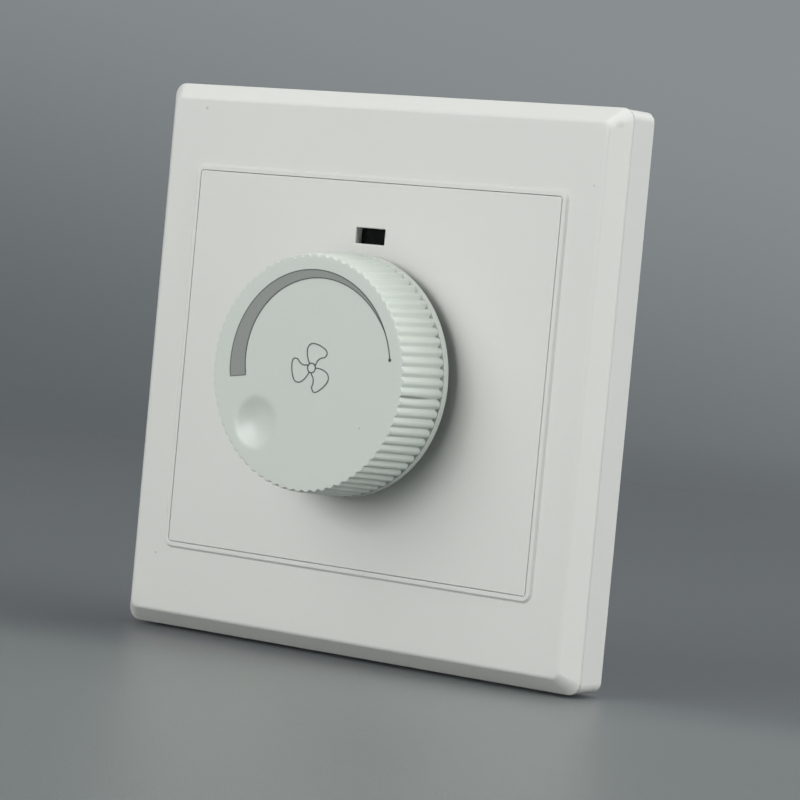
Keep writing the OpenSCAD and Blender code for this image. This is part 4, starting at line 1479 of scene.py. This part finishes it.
@dataclass
class Studio:
    """Grey paper floor and backdrop, both with painted light and shade, and soft light.

    Attributes:
        gap: Gap between the control and the floor in metres.
        floor_r: Radius of the floor in metres.
        near_painted_light_colour: Floor in front of the control: a lighter tone that is painted light.
        back_painted_shade_colour: Floor behind the control: a darker tone that is painted shade.
        light_to_shade_way: Direction across the floor in which its painted light turns to painted shade.
        step: Where it turns, in metres from the origin along that direction.
        fade: Distances from the origin at which the floor starts to fade and has faded.
        paper_roughness: Roughness of the floor, for the faint sheen that it has at a low angle.
        paper_mm: Grain of the floor. It is the finest that shows, far coarser than paper fibres.
        paper_h: Height of that grain.
        low_painted_shade_colour: Backdrop at its darkest, low and to the left: painted shade.
        high_painted_light_colour: Backdrop at its lightest, high and to the right: painted light.
        painted_light_way: Direction in which the backdrop's painted light grows.
        rise: Where it is darkest and lightest along that direction.
        fill: Strength of the light from all round.
        lights: The lamps.
    """

    gap: float = 0.0004
    floor_r: float = 3.0
    near_painted_light_colour: str = "#686D6C"
    back_painted_shade_colour: str = "#53575A"
    light_to_shade_way: Place = (-0.28, 0.96, 0.0)
    step: Span = (-0.04, 0.0)
    fade: Span = (0.15, 0.9)
    paper_roughness: float = 0.38
    paper_mm: float = 0.4
    paper_h: float = 0.05
    low_painted_shade_colour: str = "#5E6366"
    high_painted_light_colour: str = "#898E91"
    painted_light_way: Place = (0.19, 0.13, 1.0)
    rise: Span = (-0.09, 0.085)
    fill: float = 0.01
    lights: tuple[SoftLight, ...] = (
        SoftLight("front_key", (-0.17, -1.15, 0.3), 0.5, 6.2),
        SoftLight("left_key", (-0.55, -1.03, 0.29), 0.45, 1.4),
        SoftLight("left_high", (-0.49, -0.85, 0.69), 0.8, 5.0),
        SoftLight("overhead", (0.0, -0.17, 1.19), 0.8, 1.9),
        SoftLight("back_high", (0.5, 0.5, 0.97), 0.9, 8.6),
        SoftLight("right_side", (1.05, 0.1, 0.56), 0.7, 9.4),
        SoftLight("right_low", (1.17, -0.05, 0.22), 0.35, 1.8),
    )

    def build(self) -> None:
        """Builds floor, backdrop and lamps."""
        self.build_floor()
        self.build_world()
        for light in self.lights:
            light.build()

    def blend(self, tree: Tree, along: Socket, way: Place, span: Span, colours: Sequence[str]) -> Node:
        """Blends two colours smoothly along a direction.

        Args:
            tree: Node tree that gets the nodes.
            along: Output socket with the place.
            way: The direction.
            span: Distances along it at which the first and the second colour are reached.
            colours: The two sRGB colours.

        Returns:
            The node with the blended colour.
        """
        far = add_node(tree, "VectorMath", {"operation": "DOT_PRODUCT", 1: way}, {0: along})
        rise = {"interpolation_type": "SMOOTHSTEP", "From Min": span[0], "From Max": span[1]}
        share = add_node(tree, "MapRange", rise, {"Value": far.outputs["Value"]})
        pair = {"Color1": linear(colours[0]), "Color2": linear(colours[1])}
        return add_node(tree, "MixRGB", pair, {"Fac": share})

    def seen(self, tree: Tree) -> Node:
        """Adds a switch for the rays that show the backdrop: camera, glossy and transmission rays.

        Args:
            tree: Node tree that gets the nodes.

        Returns:
            The node that is 1 for those rays and 0 for the others.
        """
        path, larger = add_node(tree, "LightPath").outputs, {"operation": "MAXIMUM"}
        bent = add_node(tree, "Math", larger, {0: path["Is Glossy Ray"], 1: path["Is Transmission Ray"]})
        return add_node(tree, "Math", larger, {0: path["Is Camera Ray"], 1: bent})

    def build_floor(self) -> bpy.types.Object:
        """Builds a round floor that fades into the backdrop.

        Returns:
            The floor.
        """
        mesh = bpy.data.meshes.new("floor")
        bm = bmesh.new()
        bmesh.ops.create_circle(bm, cap_ends=True, radius=self.floor_r, segments=96)
        bm.to_mesh(mesh)
        bm.free()
        floor = new_object("floor", mesh)
        floor.location.z = CAD_BOX[0].z - self.gap
        mesh.materials.append(self.paper())
        return floor

    def paper(self) -> bpy.types.Material:
        """Makes the floor's uncoated paper: grey with painted light and shade, a faint tooth and almost no
        sheen.

        Returns:
            The material.
        """
        material = bpy.data.materials.new("paper_uncoated_grey_painted_light_and_shade")
        tree = empty_tree(material)
        place = add_node(tree, "TexCoord").outputs["Object"]
        # Painted light and shade: the paper is lighter in front of the control and darker behind it
        colours = (self.near_painted_light_colour, self.back_painted_shade_colour)
        colour = self.blend(tree, place, self.light_to_shade_way, self.step, colours)
        grain = {"Scale": per_metre(self.paper_mm), "Detail": 3.0}
        fibre = add_node(tree, "TexNoise", grain, {"Vector": place})
        bump = add_node(tree, "Bump", {"Distance": self.paper_h * MM}, {"Height": fibre})
        links = {"Normal": bump, "Base Color": colour}
        sheet = add_node(tree, "BsdfPrincipled", {"Roughness": self.paper_roughness}, links)
        away = add_node(tree, "VectorMath", {"operation": "LENGTH"}, {0: place}).outputs["Value"]
        fall = {"interpolation_type": "SMOOTHSTEP", "From Min": self.fade[0], "From Max": self.fade[1]}
        faded = add_node(tree, "MapRange", fall, {"Value": away})
        share = add_node(tree, "Math", {"operation": "MULTIPLY"}, {0: faded, 1: self.seen(tree)})
        clear = add_node(tree, "BsdfTransparent")
        mixed = add_node(tree, "MixShader", {}, {0: share, 1: sheet, 2: clear})
        add_node(tree, "OutputMaterial", links={"Surface": mixed})
        return material

    def build_world(self) -> bpy.types.World:
        """Builds the light from all round, and the backdrop that the camera sees, in painted light and
        shade.

        Returns:
            The world.
        """
        world = bpy.data.worlds.new("studio")
        tree = empty_tree(world)
        ways = add_node(tree, "TexCoord").outputs["Generated"]
        # Painted light and shade: the backdrop darkens low and to the left and lightens high and to the
        # right
        colours = (self.low_painted_shade_colour, self.high_painted_light_colour)
        colour = self.blend(tree, ways, self.painted_light_way, self.rise, colours)
        shown = add_node(tree, "Background", {"Strength": 1.0}, {"Color": colour})
        light = add_node(tree, "Background", {"Color": linear("#FFFFFF"), "Strength": self.fill})
        both = add_node(tree, "MixShader", {}, {0: self.seen(tree), 1: light, 2: shown})
        add_node(tree, "OutputWorld", links={"Surface": both})
        bpy.context.scene.world = world
        return world


@dataclass
class PhotoCamera:
    """Camera where the photo was taken from.

    Attributes:
        place: Its place in metres.
        ahead: Direction that it looks along.
        up: Direction of the picture's upper edge.
        lens: Focal length in mm.
        sensor: Width of its sensor in mm.
        reach: Nearest and farthest distance that it shows, in metres.
    """

    place: Place = (0.3029, -0.4219, 0.0167)
    ahead: Place = (-0.5805, 0.8134, -0.0387)
    up: Place = (-0.0977, -0.0223, 0.995)
    lens: float = 151.7
    sensor: float = 36.0
    reach: Span = (0.01, 50.0)

    def build(self) -> bpy.types.Object:
        """Builds the camera and makes it the scene's own.

        Returns:
            The camera.
        """
        data = bpy.data.cameras.new("photo_camera")
        data.lens = self.lens
        data.sensor_width = self.sensor
        data.clip_start, data.clip_end = self.reach
        back = -Vector(self.ahead).normalized()
        right = Vector(self.up).cross(back).normalized()
        axes = Matrix((right, back.cross(right), back)).transposed()
        camera = new_object("photo_camera", data)
        camera.matrix_world = Matrix.Translation(self.place) @ axes.to_4x4()
        bpy.context.scene.camera = camera
        return camera


def dress_nodes() -> None:
    """Gives each CAD node that stays its own finish."""
    for finish, nodes in NODES_BY_FINISH.items():
        for name in nodes:
            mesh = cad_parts[name].data
            mesh.materials.clear()
            mesh.materials.append(finish.material())
            log.info("node %s: %s", name, finish.name)


def main() -> None:
    """Builds the control, the studio and the camera."""
    logging.basicConfig(level=logging.INFO, format="%(name)s: %(message)s")
    bpy.context.scene.view_settings.view_transform = "Standard"
    PhotoCamera().build()
    Studio().build()
    pieces = (
        Cover(),
        CentrePanel(),
        Knob(),
        DialLines(),
        SoftEdgedPart("mounting_frame", "frame_moulding", Slot.COVER, FRAME_PLASTIC, edge=0.2),
        SoftEdgedPart("rear_housing", "housing_moulding", Slot.HOUSING, HOUSING_PLASTIC, edge=0.25),
        SoftEdgedPart("terminal_block", "terminal_moulding", Slot.TERMINAL, TERMINAL_PLASTIC, edge=0.15),
    )
    for piece in pieces:
        made = piece.build()
        log.info("piece %s: %d faces", made.name, len(made.data.polygons))
    dress_nodes()


if __name__ == "__main__":
    main()
